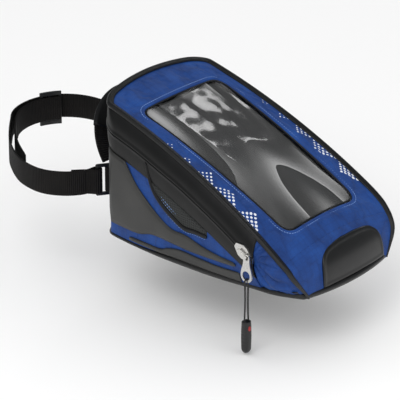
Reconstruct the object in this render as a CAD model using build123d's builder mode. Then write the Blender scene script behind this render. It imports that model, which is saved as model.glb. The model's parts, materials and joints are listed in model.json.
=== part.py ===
from build123d import *

import os
from math import atan2, cos, hypot, radians, sin, sqrt

# A small strap-on motorcycle tank bag: wedge body, zipped lid with a clear map window, neck strap and
# carry handle.
#
# Frame: millimetres, +Z up from the tank face, +Y towards the handlebars (the tall end), +X to the
# rider's right. The origin is the centre of the base, on its underside.

os.makedirs("parts", exist_ok=True)

# ---- driving dimensions, body --------------------------------------------------------------------
NOSE_Y = -122.0  # front of the nose on the centre line
TALL_Y = 123.0  # tall end on the centre line
FLARE_Y = -64.0  # forward of this the lid drops away to the nose
NOSE_LENGTH = 60.0  # how far the lid's drop and pinch run past FLARE_Y
SEAM_LOW_Z = 62.6  # lid seam height at FLARE_Y
SEAM_HIGH_Y, SEAM_HIGH_Z = 101.0, 130.0  # second point of the lid seam
SEAM_RADIUS = 700.0  # the lid seam is an arc of this radius along the zip
SEAM_HALF = 76.6  # half width between the lid seams at FLARE_Y
SEAM_TAPER = 0.043  # half width lost per millimetre towards the tall end
NOSE_DROP = 19.5  # extra fall of the seam over the nose
NOSE_PINCH = 20.0  # half width lost over the nose
BASE_HALF = 75.5
BULGE = 7.0  # how far the zip band stands proud of the lid seam
ZIP_DROP = 20.0  # zip line below the lid seam
BAND_DROP = 38.0  # lower edge of the zip band below the lid seam
END_BOW = 5.0  # bow of the tall end over its flat 100 mm
END_FLAT_X = 50.0
CORNER_X, CORNER_Y = 79.0, 84.0  # where the tall end's round corners run out

# ---- driving dimensions, layers (depth below the outer skin, negative is proud of it) ------------
GAP = 0.1  # clearance left between sewn neighbours
FABRIC = 1.4
TAPE = 1.0
COIL = (1.1, 2.8)
FOAM = (1.5, 3.4)
LINING = (3.5, 4.1)
OVERLAY = -0.9
WEB_PAD = -1.8
ZIP_SLOT = 1.0  # half the opening between the two tapes
COIL_SPAN = (0.65, 2.9)  # each coil's reach from the zip line
FILM = (1.5, 2.1)
FRAME = (2.2, 5.2)
CARD = (3.4, 3.8)
BACKING = (5.3, 6.3)

# ---- driving dimensions, hinge of the lid and ends of the zip ------------------------------------
HINGE_Y = -98.0
ZIP_END_Y = -76.0
ZIP_STOP = 1.0  # length of the sewn stop at the end of the zip
SIDE_END_Y = 88.0  # seam between side panel and tall end panel

# ---- driving dimensions, window ------------------------------------------------------------------
WINDOW_TALL_Y, WINDOW_TALL_HALF = 84.0, 54.0
WINDOW_NOSE_Y, WINDOW_NOSE_HALF = -87.0, 50.0
WINDOW_CORNER = 13.0

# ---- driving dimensions, nose patch ----------------------------------------------------------------
PATCH_X = 6.0  # the patch sits a little to the right of the middle
PATCH_SHOULDER = (30.0, 38.0)
PATCH_SIDE = (42.5, 30.0)
PATCH_FOOT = (44.5, 6.5)
PATCH_TOP = 41.0

# ---- driving dimensions, zip slider and pull -----------------------------------------------------
SLIDER_Y = -65.0
SLIDER_LENGTH, SLIDER_WIDTH = 19.0, 13.0
SLIDER_NOSE, SLIDER_TAIL = 2.2, 3.2  # half widths of the two ends of the slider
PLATE = (0.4, 3.0)  # outer plate of the slider, height above the tape
INNER_PLATE = (-4.5, -3.4)
INNER_SIZE = (14.0, 8.5)
NECK_SIZE = (2.4, 0.8)  # the post between the two plates
BAIL_TOP = (5.0, 6.4)
BAIL_ENDS = (-8.4, 4.0)
BAIL_WIDTH, BAIL_POST = 2.8, 1.4
PULLER_PLATE = (3.2, 4.7)
PULLER_DROP = 17.5  # cord hole below the bail
PULLER_HALF, PULLER_WAIST = 3.6, 4.1
EYE_RADIUS, CORD_HOLE, RIM = 2.2, 4.4, 2.2
CORD_RADIUS = 0.8
CORD_DROP = 41.0
STRAND = 2.6  # half the distance between the two strands of the cord
GRIP_LENGTH, GRIP_HALF, GRIP_THICK, GRIP_TIP = 33.0, 3.8, 10.0, 8.0
GRIP_SOCKET = 5.0  # how far the cord runs into the grip

# ---- driving dimensions, webbing and its hardware ------------------------------------------------
WEB_WIDTH, WEB_THICK = 25.0, 1.6
STRAP_Z = 46.5  # mid height of the neck strap
NEAR_BAR = (52.5, 125.5)  # bars of the moulded loops, on the right; the left is its mirror image
FAR_BAR = (61.5, 131.5)
BAR_RADIUS = 1.8
LOOP_CENTRE = (12.0, 240.0)  # the far end of the neck strap is an arc about this point
LOOP_RADIUS = 52.0
TAIL_RADIUS = 46.5
GLIDE_ANGLE = 60.0
HANDLE_Y, HANDLE_Z, HANDLE_LEAN = 125.0, 65.5, 36.0
HANDLE_TAB_Z = (66.5, 82.5)
HANDLE_HALF, HANDLE_RISE = 48.0, 48.0

# ---- driving dimensions, base --------------------------------------------------------------------
PANEL_TOP = 1.5
BOARD_TOP = 3.2
PAD_TOP = 8.3
FLOOR_TOP = 9.0
MAGNET_RADIUS, MAGNET_THICK = 15.0, 4.0
MAGNET_X, MAGNET_Y = 42.0, 62.0
BASE_PIPING_TALL = 5.6
PIPING_WIDTH, PIPING_LAP = 3.0, 2.5  # lid piping: reach outside the seam and over the lid

X_FAR, Y_FAR = 130.0, 140.0  # beyond every side of the bag
Z_FAR = 220.0  # above the bag


# ---- shape of the bag, as formulas ---------------------------------------------------------------
def seam_arc_centre():
    """Centre of the lid seam's arc, in the side view."""
    chord = hypot(SEAM_HIGH_Y - FLARE_Y, SEAM_HIGH_Z - SEAM_LOW_Z)
    tilt = atan2(SEAM_HIGH_Z - SEAM_LOW_Z, SEAM_HIGH_Y - FLARE_Y)
    depth = sqrt(SEAM_RADIUS**2 - chord**2 / 4)
    mid_y, mid_z = (FLARE_Y + SEAM_HIGH_Y) / 2, (SEAM_LOW_Z + SEAM_HIGH_Z) / 2
    return mid_y + depth * sin(tilt), mid_z - depth * cos(tilt)


ARC_Y, ARC_Z = seam_arc_centre()


def nose_share(y):
    """0 along the zip, rising steeply to 1 at the tip of the nose."""
    return max(0.0, (FLARE_Y - y) / NOSE_LENGTH) ** 5


def seam_z(y):
    """Height of the lid seam."""
    return ARC_Z + sqrt(SEAM_RADIUS**2 - (y - ARC_Y) ** 2) - NOSE_DROP * nose_share(y)


def seam_half(y):
    """Half width between the two lid seams."""
    return SEAM_HALF - SEAM_TAPER * (y - FLARE_Y) - NOSE_PINCH * nose_share(y)


def base_half(y):
    """Half width of the base."""
    if y < 20:
        return BASE_HALF - 9e-6 * (20 - y) ** 3
    return BASE_HALF - 1.2e-3 * max(0.0, y - 30) ** 2


def crown(y):
    """How far the lid rises at the centre line above its seam."""
    return 0.6 + (2.4 + 8.0 * (max(0.0, 30 - y) / 142) ** 2) * (1 - nose_share(y) ** 1.6)


def bulge(y):
    return BULGE * min(1.0, seam_z(y) / 50)


def zip_drop(y):
    return min(ZIP_DROP, 0.4 * seam_z(y))


# ---- envelopes and cutters -----------------------------------------------------------------------
def spaced(start, end, count):
    return [start + (end - start) * i / (count - 1) for i in range(count)]


NOSE_STATIONS = (-124, -112, -100, -88, -76, -64)
MAIN_STATIONS = (-64, -16, 32, 80, 128)


def section(y, depth):
    """One cross-section of the body, inset by depth."""
    b, w = base_half(y) - depth, seam_half(y) - depth
    z = max(seam_z(y) - depth, 2.0)
    top = max(seam_z(y) + crown(y) - depth, z + 0.4)
    out, mid = w + bulge(y), min(seam_z(y) - zip_drop(y), z - 1)
    with BuildSketch(Plane.XZ.offset(-y), mode=Mode.PRIVATE) as slice_:
        with BuildLine():
            Line((-b, 0), (b, 0))
            for s in (1, -1):
                Spline((s * b, 0), (s * out, mid), tangents=((s * 0.4, 1), (0, 1)))
                Spline((s * out, mid), (s * w, z), tangents=((0, 1), (-s * 0.8, 0.6)))
            ThreePointArc((w, z), (0, top), (-w, z))
        make_face()
    return slice_.sketch


def body_loft(depth):
    """The bag's body as two lofts of cross-sections that meet at FLARE_Y, inset by depth."""
    with BuildPart(mode=Mode.PRIVATE) as body:
        for stations in (NOSE_STATIONS, MAIN_STATIONS):
            for y in stations:
                add(section(y, depth))
            loft()
    return body.part


def plan_outline(depth):
    """The bag seen from above: a bowed nose and tall end with round corners, wider than the sides between."""
    tall, nose, corner = TALL_Y - depth, NOSE_Y + depth, CORNER_X - depth
    with BuildSketch(mode=Mode.PRIVATE) as plan:
        with BuildLine():
            end = ThreePointArc((-END_FLAT_X, tall - END_BOW), (0, tall), (END_FLAT_X, tall - END_BOW))
            TangentArc((END_FLAT_X, tall - END_BOW), (corner, CORNER_Y), tangent=end % 1)
            Polyline((corner, CORNER_Y), (95, 50), (95, -98), (72, nose + 11.5))
            ThreePointArc((72, nose + 11.5), (0, nose), (-72, nose + 11.5))
            Polyline((-72, nose + 11.5), (-95, -98), (-95, 50), (-corner, CORNER_Y))
            TangentArc((-END_FLAT_X, tall - END_BOW), (-corner, CORNER_Y), tangent=(end % 0) * -1)
        make_face()
    return plan.sketch


def envelope(depth, floor=0.0):
    """The closed solid inside the outer skin at this depth, standing on the height floor."""
    with BuildPart(mode=Mode.PRIVATE) as inside:
        add(body_loft(depth))
        with BuildSketch(Plane.XY.offset(floor)):
            add(plan_outline(depth))
        extrude(amount=Z_FAR, mode=Mode.INTERSECT)
    return inside.part


def layer(outer, inner, floor=0.0):
    """One layer of the bag's shell between two depths, open at the bottom."""
    with BuildPart(mode=Mode.PRIVATE) as shell:
        add(envelope(outer, floor))
        add(envelope(inner, floor), mode=Mode.SUBTRACT)
    return shell.part


def side_prism(points, x0=-X_FAR, x1=X_FAR):
    """A side view outline (Y, Z) cut through from x0 to x1."""
    with BuildPart(mode=Mode.PRIVATE) as prism:
        with BuildSketch(Plane.YZ.offset(x0)):
            with BuildLine():
                Polyline(*points, close=True)
            make_face()
        extrude(amount=x1 - x0)
    return prism.part


def leaf_prism(top, bottom, x0=-X_FAR, x1=0.0):
    """A side view outline between two smooth curves (Y, Z) that run the same way, cut through."""
    with BuildPart(mode=Mode.PRIVATE) as prism:
        with BuildSketch(Plane.YZ.offset(x0)):
            with BuildLine():
                Spline(*top)
                Line(top[-1], bottom[-1])
                Spline(*bottom)
                Line(bottom[0], top[0])
            make_face()
        extrude(amount=x1 - x0)
    return prism.part


def seam_line(drop):
    """The side view of the lid seam, lowered by drop, as points."""
    return [(y, seam_z(y) - drop) for y in spaced(-123.9, 130, 36)]


def above_seam(drop):
    line = seam_line(drop)
    return side_prism([(-Y_FAR, line[0][1]), *line, (130, Z_FAR), (-Y_FAR, Z_FAR)])


def below_seam(drop):
    line = seam_line(drop)
    return side_prism([(-Y_FAR, -90), (-Y_FAR, line[0][1]), *line, (130, -90)])


def region(y0, y1, x0=-X_FAR, x1=X_FAR, z0=-30.0, z1=Z_FAR):
    """A box between two Y, two X and two Z planes."""
    with BuildPart(mode=Mode.PRIVATE) as box:
        with Locations(((x0 + x1) / 2, (y0 + y1) / 2, (z0 + z1) / 2)):
            Box(x1 - x0, y1 - y0, z1 - z0)
    return box.part


def window(grow):
    """The map window's outline seen from above, grown all round, cut through upwards."""
    tall, nose = WINDOW_TALL_HALF + grow, WINDOW_NOSE_HALF + grow
    with BuildPart(mode=Mode.PRIVATE) as prism:
        with BuildSketch():
            with BuildLine():
                Polyline(
                    (-tall, WINDOW_TALL_Y + grow),
                    (tall, WINDOW_TALL_Y + grow),
                    (nose, WINDOW_NOSE_Y - grow),
                    (-nose, WINDOW_NOSE_Y - grow),
                    close=True,
                )
            corners = make_face().vertices()
            fillet(corners, WINDOW_CORNER + grow)
        extrude(amount=Z_FAR)
    return prism.part


def lid_plan(inset):
    """The lid's outline seen from above, drawn in all round, cut through upwards."""
    edge = [(seam_half(y) - inset, y) for y in spaced(-124, 128, 10)]
    with BuildPart(mode=Mode.PRIVATE) as prism:
        with BuildSketch():
            add(plan_outline(inset))
            with BuildLine():
                Spline(*edge)
                Line(edge[-1], (-edge[-1][0], edge[-1][1]))
                Spline(*[(-x, y) for x, y in edge])
                Line(edge[0], (-edge[0][0], edge[0][1]))
            make_face(mode=Mode.INTERSECT)
        extrude(amount=Z_FAR)
    return prism.part


def keep(*pieces):
    """Cut the part being built down to what lies inside every one of the pieces."""
    for piece in pieces:
        add(piece, mode=Mode.INTERSECT)


# ---- the shell layers the panels are cut from ----------------------------------------------------
SKIN = layer(0, FABRIC)
TAPES = layer(0, TAPE)
COILS = layer(*COIL)
TRIM = layer(OVERLAY, -GAP)
INSIDE = envelope(FABRIC + GAP)
LEFT = region(-Y_FAR, Y_FAR, x1=0)
FRONT_OF_HINGE = region(-Y_FAR, HINGE_Y)
BEHIND_HINGE = region(HINGE_Y + GAP, Y_FAR)
ALONG_ZIP = region(ZIP_END_Y, Y_FAR)
BELOW_BAND = below_seam(BAND_DROP + GAP)
ABOVE_SEAM = above_seam(0)
SEAM_BELOW_BAND = [(y, seam_z(y) - BAND_DROP - GAP) for y in spaced(ZIP_END_Y, 130, 24)]


# ---- base ----------------------------------------------------------------------------------------
with BuildPart() as base_panel:
    add(INSIDE)
    keep(region(-Y_FAR, Y_FAR, z0=0, z1=PANEL_TOP))
base_panel.part.label = "base_panel"
export_step(base_panel.part, "parts/base_panel.step")

with BuildPart() as base_board:
    add(INSIDE)
    keep(region(-Y_FAR, Y_FAR, z0=PANEL_TOP + GAP, z1=BOARD_TOP))
base_board.part.label = "base_board"
export_step(base_board.part, "parts/base_board.step")

MAGNET_PLACES = GridLocations(2 * MAGNET_X, 2 * MAGNET_Y, 2, 2)
with BuildPart() as base_pad:
    add(INSIDE)
    keep(region(-Y_FAR, Y_FAR, z0=BOARD_TOP + GAP, z1=PAD_TOP))
    with BuildSketch(Plane.XY.offset(BOARD_TOP)):
        with MAGNET_PLACES:
            Circle(MAGNET_RADIUS + GAP)
    extrude(amount=MAGNET_THICK + 2 * GAP, mode=Mode.SUBTRACT)
base_pad.part.label = "base_pad"
export_step(base_pad.part, "parts/base_pad.step")

with BuildPart() as base_magnets:
    with BuildSketch(Plane.XY.offset(BOARD_TOP + GAP)):
        with MAGNET_PLACES:
            Circle(MAGNET_RADIUS)
    extrude(amount=MAGNET_THICK)
base_magnets.part.label = "base_magnets"
export_step(base_magnets.part, "parts/base_magnets.step")

with BuildPart() as floor_lining:
    add(INSIDE)
    keep(region(-Y_FAR, Y_FAR, z0=PAD_TOP + GAP, z1=FLOOR_TOP))
floor_lining.part.label = "floor_lining"
export_step(floor_lining.part, "parts/floor_lining.step")


with BuildPart() as base_piping:
    add(layer(-PIPING_WIDTH, -GAP))
    keep(region(-Y_FAR, Y_FAR, z0=0, z1=BASE_PIPING_TALL))
base_piping.part.label = "base_piping"
export_step(base_piping.part, "parts/base_piping.step")


# ---- side, end and nose panels -------------------------------------------------------------------
GUSSET_LOW, GUSSET_HIGH = 10.0, 21.0  # the gusset's lower seam, at the hinge and under the end of the zip
SIDE_VIEW = side_prism(
    [
        (HINGE_Y + GAP, -5),
        (SIDE_END_Y, -5),
        (SIDE_END_Y, Z_FAR),
        (ZIP_END_Y + GAP, Z_FAR),
        (ZIP_END_Y + GAP, GUSSET_HIGH),
        (HINGE_Y + GAP, GUSSET_LOW),
    ]
)
GUSSET_VIEW = side_prism(
    [
        (HINGE_Y + GAP, GUSSET_LOW + 2 * GAP),
        (ZIP_END_Y - GAP, GUSSET_HIGH + 2 * GAP),
        (ZIP_END_Y - GAP, Z_FAR),
        (HINGE_Y + GAP, Z_FAR),
    ]
)

with BuildPart() as side_panel_left:
    add(SKIN)
    keep(SIDE_VIEW, BELOW_BAND, LEFT)
side_panel_left.part.label = "side_panel_left"
export_step(side_panel_left.part, "parts/side_panel_left.step")

with BuildPart() as side_panel_right:
    add(side_panel_left.part)
    mirror(about=Plane.YZ, mode=Mode.REPLACE)
side_panel_right.part.label = "side_panel_right"
export_step(side_panel_right.part, "parts/side_panel_right.step")

with BuildPart() as gusset_left:
    add(SKIN)
    keep(GUSSET_VIEW, below_seam(GAP), LEFT)
gusset_left.part.label = "gusset_left"
export_step(gusset_left.part, "parts/gusset_left.step")

with BuildPart() as gusset_right:
    add(gusset_left.part)
    mirror(about=Plane.YZ, mode=Mode.REPLACE)
gusset_right.part.label = "gusset_right"
export_step(gusset_right.part, "parts/gusset_right.step")

with BuildPart() as tall_panel:
    add(SKIN)
    keep(BELOW_BAND, region(SIDE_END_Y + GAP, Y_FAR))
tall_panel.part.label = "tall_panel"
export_step(tall_panel.part, "parts/tall_panel.step")

with BuildPart() as nose_panel:
    add(SKIN)
    keep(FRONT_OF_HINGE)
nose_panel.part.label = "nose_panel"
export_step(nose_panel.part, "parts/nose_panel.step")

PATCH_EDGE = (PATCH_SHOULDER, PATCH_SIDE, PATCH_FOOT)
with BuildPart() as nose_patch:
    with BuildSketch(Plane.XZ.offset(105)):
        with BuildLine():
            left = [(PATCH_X - x, z) for x, z in PATCH_EDGE]
            right = [(PATCH_X + x, z) for x, z in PATCH_EDGE]
            Polyline(*left, *reversed(right))
            ThreePointArc(right[0], (PATCH_X, PATCH_TOP), left[0])
        fillet(make_face().vertices(), 3)
    extrude(amount=40)
    keep(layer(-1.3, -GAP))
nose_patch.part.label = "nose_patch"
export_step(nose_patch.part, "parts/nose_patch.step")

BEHIND_GUSSET = side_prism([(HINGE_Y, Z_FAR), (HINGE_Y, 10.5), (ZIP_END_Y, 20.5), (ZIP_END_Y, Z_FAR)])
BEHIND_BAND = side_prism([(ZIP_END_Y - 1, 20), *SEAM_BELOW_BAND, (Y_FAR, Z_FAR), (ZIP_END_Y - 1, Z_FAR)])
with BuildPart() as wall_foam:
    add(layer(*FOAM, floor=FLOOR_TOP + GAP))
    add(BEHIND_GUSSET, mode=Mode.SUBTRACT)
    add(BEHIND_BAND, mode=Mode.SUBTRACT)
wall_foam.part.label = "wall_foam"
export_step(wall_foam.part, "parts/wall_foam.step")

with BuildPart() as wall_lining:
    add(layer(*LINING, floor=FLOOR_TOP + GAP))
    add(BEHIND_GUSSET, mode=Mode.SUBTRACT)
    add(BEHIND_BAND, mode=Mode.SUBTRACT)
wall_lining.part.label = "wall_lining"
export_step(wall_lining.part, "parts/wall_lining.step")


# ---- zip band ------------------------------------------------------------------------------------
with BuildPart() as zip_tape_lower:
    add(TAPES)
    keep(below_seam(ZIP_DROP + ZIP_SLOT), above_seam(BAND_DROP), ALONG_ZIP)
zip_tape_lower.part.label = "zip_tape_lower"
export_step(zip_tape_lower.part, "parts/zip_tape_lower.step")

with BuildPart() as zip_tape_upper:
    add(TAPES)
    keep(below_seam(GAP), above_seam(ZIP_DROP - ZIP_SLOT), ALONG_ZIP)
zip_tape_upper.part.label = "zip_tape_upper"
export_step(zip_tape_upper.part, "parts/zip_tape_upper.step")

with BuildPart() as zip_coil_lower:
    add(COILS)
    keep(below_seam(ZIP_DROP + COIL_SPAN[0]), above_seam(ZIP_DROP + COIL_SPAN[1]), ALONG_ZIP)
zip_coil_lower.part.label = "zip_coil_lower"
export_step(zip_coil_lower.part, "parts/zip_coil_lower.step")

with BuildPart() as zip_coil_upper:
    add(COILS)
    keep(below_seam(ZIP_DROP - COIL_SPAN[1]), above_seam(ZIP_DROP - COIL_SPAN[0]), ALONG_ZIP)
zip_coil_upper.part.label = "zip_coil_upper"
export_step(zip_coil_upper.part, "parts/zip_coil_upper.step")

with BuildPart() as zip_stop_left:
    add(layer(-1.4, -GAP))
    keep(region(ZIP_END_Y, ZIP_END_Y + ZIP_STOP), below_seam(ZIP_DROP - 3), above_seam(ZIP_DROP + 3), LEFT)
zip_stop_left.part.label = "zip_stop_left"
export_step(zip_stop_left.part, "parts/zip_stop_left.step")

with BuildPart() as zip_stop_right:
    add(zip_stop_left.part)
    mirror(about=Plane.YZ, mode=Mode.REPLACE)
zip_stop_right.part.label = "zip_stop_right"
export_step(zip_stop_right.part, "parts/zip_stop_right.step")


# ---- lid -----------------------------------------------------------------------------------------
with BuildPart() as lid_panel:
    add(SKIN)
    keep(ABOVE_SEAM, BEHIND_HINGE)
    add(window(GAP), mode=Mode.SUBTRACT)
lid_panel.part.label = "lid_panel"
export_step(lid_panel.part, "parts/lid_panel.step")

with BuildPart() as window_binding:
    add(SKIN)
    keep(ABOVE_SEAM, window(0))
    add(window(-2.5), mode=Mode.SUBTRACT)
window_binding.part.label = "window_binding"
export_step(window_binding.part, "parts/window_binding.step")

with BuildPart() as window_film:
    add(layer(*FILM))
    keep(above_seam(8), window(6))
window_film.part.label = "window_film"
export_step(window_film.part, "parts/window_film.step")

with BuildPart() as pocket_frame:
    add(layer(*FRAME))
    keep(above_seam(12), window(6))
    add(window(-0.5), mode=Mode.SUBTRACT)
pocket_frame.part.label = "pocket_frame"
export_step(pocket_frame.part, "parts/pocket_frame.step")

with BuildPart() as map_card:
    add(layer(*CARD))
    keep(above_seam(12), window(-2))
map_card.part.label = "map_card"
export_step(map_card.part, "parts/map_card.step")

with BuildPart() as pocket_back:
    add(layer(*BACKING))
    keep(above_seam(14), window(6))
pocket_back.part.label = "pocket_back"
export_step(pocket_back.part, "parts/pocket_back.step")

with BuildPart() as lid_foam:
    add(lid_plan(5))
    keep(layer(*FOAM), above_seam(12), BEHIND_HINGE)
    add(window(6 + GAP), mode=Mode.SUBTRACT)
lid_foam.part.label = "lid_foam"
export_step(lid_foam.part, "parts/lid_foam.step")


PIPING_STRIP = layer(-PIPING_WIDTH, -GAP)
with BuildPart() as lid_piping:
    add(PIPING_STRIP)
    keep(above_seam(PIPING_WIDTH), below_seam(-PIPING_WIDTH - crown(TALL_Y)), BEHIND_HINGE)
    add(lid_plan(PIPING_LAP), mode=Mode.SUBTRACT)
lid_piping.part.label = "lid_piping"
export_step(lid_piping.part, "parts/lid_piping.step")

with BuildPart() as nose_piping_right:
    add(PIPING_STRIP)
    keep(above_seam(PIPING_WIDTH), below_seam(-PIPING_WIDTH), FRONT_OF_HINGE)
    keep(region(-112, Y_FAR, x0=40, z0=BASE_PIPING_TALL + GAP))
    add(lid_plan(PIPING_LAP), mode=Mode.SUBTRACT)
nose_piping_right.part.label = "nose_piping_right"
export_step(nose_piping_right.part, "parts/nose_piping_right.step")

with BuildPart() as nose_piping_left:
    add(nose_piping_right.part)
    mirror(about=Plane.YZ, mode=Mode.REPLACE)
nose_piping_left.part.label = "nose_piping_left"
export_step(nose_piping_left.part, "parts/nose_piping_left.step")


# ---- side overlays -------------------------------------------------------------------------------
BASE_EDGE = BASE_PIPING_TALL + 0.6
WING_TOP = [(104, 126), (88, 98), (77, 79.5), (63, 62), (42, 45), (24, 35), (6, 34), (-18, 28), (-48, 24)]
WING_BOTTOM = [(104, 16.5), (88, 16.5), (67, 17), (47, 22), (18, 21), (0, 20), (-30, 21), (-51, 22.5)]
MESH_EDGE = [(55, 94), (47, 71), (36, 58), (21.5, 48), (8, 42), (-6, 42.6), (-20, 42)]
MESH_TOP = [(55, 110), (47, 104), (36, 100), (21, 92), (8, 86), (-6, 79), (-20, 72)]
HEM_TOP = [(80, 8), (60, 8.5), (40, 8), (30, 13), (16, 16), (-6, 15), (-30, 14), (-56, 15.5)]
HEM_BOTTOM = [(80, BASE_EDGE), (40, BASE_EDGE), (0, BASE_EDGE), (-56, BASE_EDGE)]


def lowered(curve, amount):
    return [(y, z - amount) for y, z in curve]


with BuildPart() as wing_left:
    add(TRIM)
    keep(leaf_prism(WING_TOP, WING_BOTTOM), BELOW_BAND)
wing_left.part.label = "wing_left"
export_step(wing_left.part, "parts/wing_left.step")

with BuildPart() as wing_right:
    add(wing_left.part)
    mirror(about=Plane.YZ, mode=Mode.REPLACE)
wing_right.part.label = "wing_right"
export_step(wing_right.part, "parts/wing_right.step")

with BuildPart() as mesh_pocket_left:
    add(TRIM)
    keep(leaf_prism(MESH_TOP, MESH_EDGE), below_seam(BAND_DROP + 0.6))
mesh_pocket_left.part.label = "mesh_pocket_left"
export_step(mesh_pocket_left.part, "parts/mesh_pocket_left.step")

with BuildPart() as mesh_pocket_right:
    add(mesh_pocket_left.part)
    mirror(about=Plane.YZ, mode=Mode.REPLACE)
mesh_pocket_right.part.label = "mesh_pocket_right"
export_step(mesh_pocket_right.part, "parts/mesh_pocket_right.step")

with BuildPart() as pocket_trim_left:
    add(TRIM)
    keep(leaf_prism(lowered(MESH_EDGE, GAP), lowered(MESH_EDGE, 3.6)), below_seam(BAND_DROP + 0.6))
pocket_trim_left.part.label = "pocket_trim_left"
export_step(pocket_trim_left.part, "parts/pocket_trim_left.step")

with BuildPart() as pocket_trim_right:
    add(pocket_trim_left.part)
    mirror(about=Plane.YZ, mode=Mode.REPLACE)
pocket_trim_right.part.label = "pocket_trim_right"
export_step(pocket_trim_right.part, "parts/pocket_trim_right.step")

with BuildPart() as lower_trim_left:
    add(TRIM)
    keep(leaf_prism(HEM_TOP, HEM_BOTTOM))
lower_trim_left.part.label = "lower_trim_left"
export_step(lower_trim_left.part, "parts/lower_trim_left.step")

with BuildPart() as lower_trim_right:
    add(lower_trim_left.part)
    mirror(about=Plane.YZ, mode=Mode.REPLACE)
lower_trim_right.part.label = "lower_trim_right"
export_step(lower_trim_right.part, "parts/lower_trim_right.step")


# ---- zip slider, puller and cord -----------------------------------------------------------------
TRACK_X = -(seam_half(SLIDER_Y) + BULGE)
TRACK_Z = seam_z(SLIDER_Y) - ZIP_DROP
TRACK_SLOPE = (ARC_Y - SLIDER_Y) / sqrt(SEAM_RADIUS**2 - (SLIDER_Y - ARC_Y) ** 2)
TRACK = Plane(
    origin=(TRACK_X, SLIDER_Y, TRACK_Z),
    x_dir=(SEAM_TAPER, 1, TRACK_SLOPE),
    z_dir=(-1, SEAM_TAPER, 0),
)

with BuildPart() as zip_slider:
    with BuildSketch(TRACK.offset(PLATE[0])):
        with BuildLine():
            half, wide = SLIDER_LENGTH / 2, SLIDER_WIDTH / 2
            Polyline((half, SLIDER_NOSE), (2, wide), (-3, wide), (-half, SLIDER_TAIL))
            Polyline((-half, -SLIDER_TAIL), (-3, -wide), (2, -wide), (half, -SLIDER_NOSE))
            Line((half, SLIDER_NOSE), (half, -SLIDER_NOSE))
            Line((-half, SLIDER_TAIL), (-half, -SLIDER_TAIL))
        fillet(make_face().vertices(), 1.2)
    extrude(amount=PLATE[1] - PLATE[0])
    with BuildSketch(TRACK.offset(INNER_PLATE[1])):
        Rectangle(*NECK_SIZE)
    extrude(amount=PLATE[0] - INNER_PLATE[1])
    with BuildSketch(TRACK.offset(INNER_PLATE[0])):
        RectangleRounded(*INNER_SIZE, 1.5)
    extrude(amount=INNER_PLATE[1] - INNER_PLATE[0])
    with BuildSketch(TRACK.offset(PLATE[1])):
        with Locations((BAIL_ENDS[0] + BAIL_POST / 2, 0), (BAIL_ENDS[1] - BAIL_POST / 2, 0)):
            Rectangle(BAIL_POST, BAIL_WIDTH)
    extrude(amount=BAIL_TOP[0] - PLATE[1])
    with BuildSketch(TRACK.offset(BAIL_TOP[0])):
        with Locations(((BAIL_ENDS[0] + BAIL_ENDS[1]) / 2, 0)):
            RectangleRounded(BAIL_ENDS[1] - BAIL_ENDS[0], BAIL_WIDTH, 0.6)
    extrude(amount=BAIL_TOP[1] - BAIL_TOP[0])
zip_slider.part.label = "zip_slider"
export_step(zip_slider.part, "parts/zip_slider.step")

# the puller hangs plumb from the bail's nose end, flat against the bag
PIVOT = TRACK.from_local_coords(Vector(BAIL_ENDS[0] + BAIL_POST / 2, 0, 0))
HANG = Plane(origin=PIVOT, x_dir=(SEAM_TAPER, 1, 0), z_dir=(-1, SEAM_TAPER, 0))

with BuildPart() as zip_puller:
    with BuildSketch(HANG.offset(PULLER_PLATE[0])):
        with BuildLine():
            wide = CORD_HOLE + RIM
            ThreePointArc((-PULLER_HALF, 0), (0, -PULLER_HALF), (PULLER_HALF, 0))
            Spline((PULLER_HALF, 0), (PULLER_WAIST, 7), (wide, PULLER_DROP), tangents=((0, 1), (0, 1)))
            ThreePointArc((wide, PULLER_DROP), (0, PULLER_DROP + wide), (-wide, PULLER_DROP))
            Spline((-wide, PULLER_DROP), (-PULLER_WAIST, 7), (-PULLER_HALF, 0), tangents=((0, -1), (0, -1)))
        make_face()
        Circle(EYE_RADIUS, mode=Mode.SUBTRACT)
        with Locations((0, PULLER_DROP)):
            Circle(CORD_HOLE, mode=Mode.SUBTRACT)
    extrude(amount=PULLER_PLATE[1] - PULLER_PLATE[0])
zip_puller.part.label = "zip_puller"
export_step(zip_puller.part, "parts/zip_puller.step")

MID_PLATE = (PULLER_PLATE[0] + PULLER_PLATE[1]) / 2
LOOP_TOP = PULLER_DROP + CORD_HOLE - CORD_RADIUS - 0.4
GRIP_TOP = LOOP_TOP + CORD_DROP
CORD_START = HANG.from_local_coords(Vector(0, 0, MID_PLATE))
CORD_PLANE = Plane(origin=CORD_START, x_dir=HANG.z_dir, z_dir=HANG.x_dir * -1)

with BuildPart() as puller_cord:
    with BuildLine(CORD_PLANE) as cord_line:
        Line((STRAND, GRIP_TOP + GRIP_SOCKET), (STRAND, LOOP_TOP + STRAND))
        ThreePointArc((STRAND, LOOP_TOP + STRAND), (0, LOOP_TOP), (-STRAND, LOOP_TOP + STRAND))
        Line((-STRAND, LOOP_TOP + STRAND), (-STRAND, GRIP_TOP + GRIP_SOCKET))
    with BuildSketch(Plane(origin=cord_line.line @ 0, z_dir=cord_line.line % 0)):
        Circle(CORD_RADIUS)
    sweep()
puller_cord.part.label = "puller_cord"
export_step(puller_cord.part, "parts/puller_cord.step")

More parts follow.
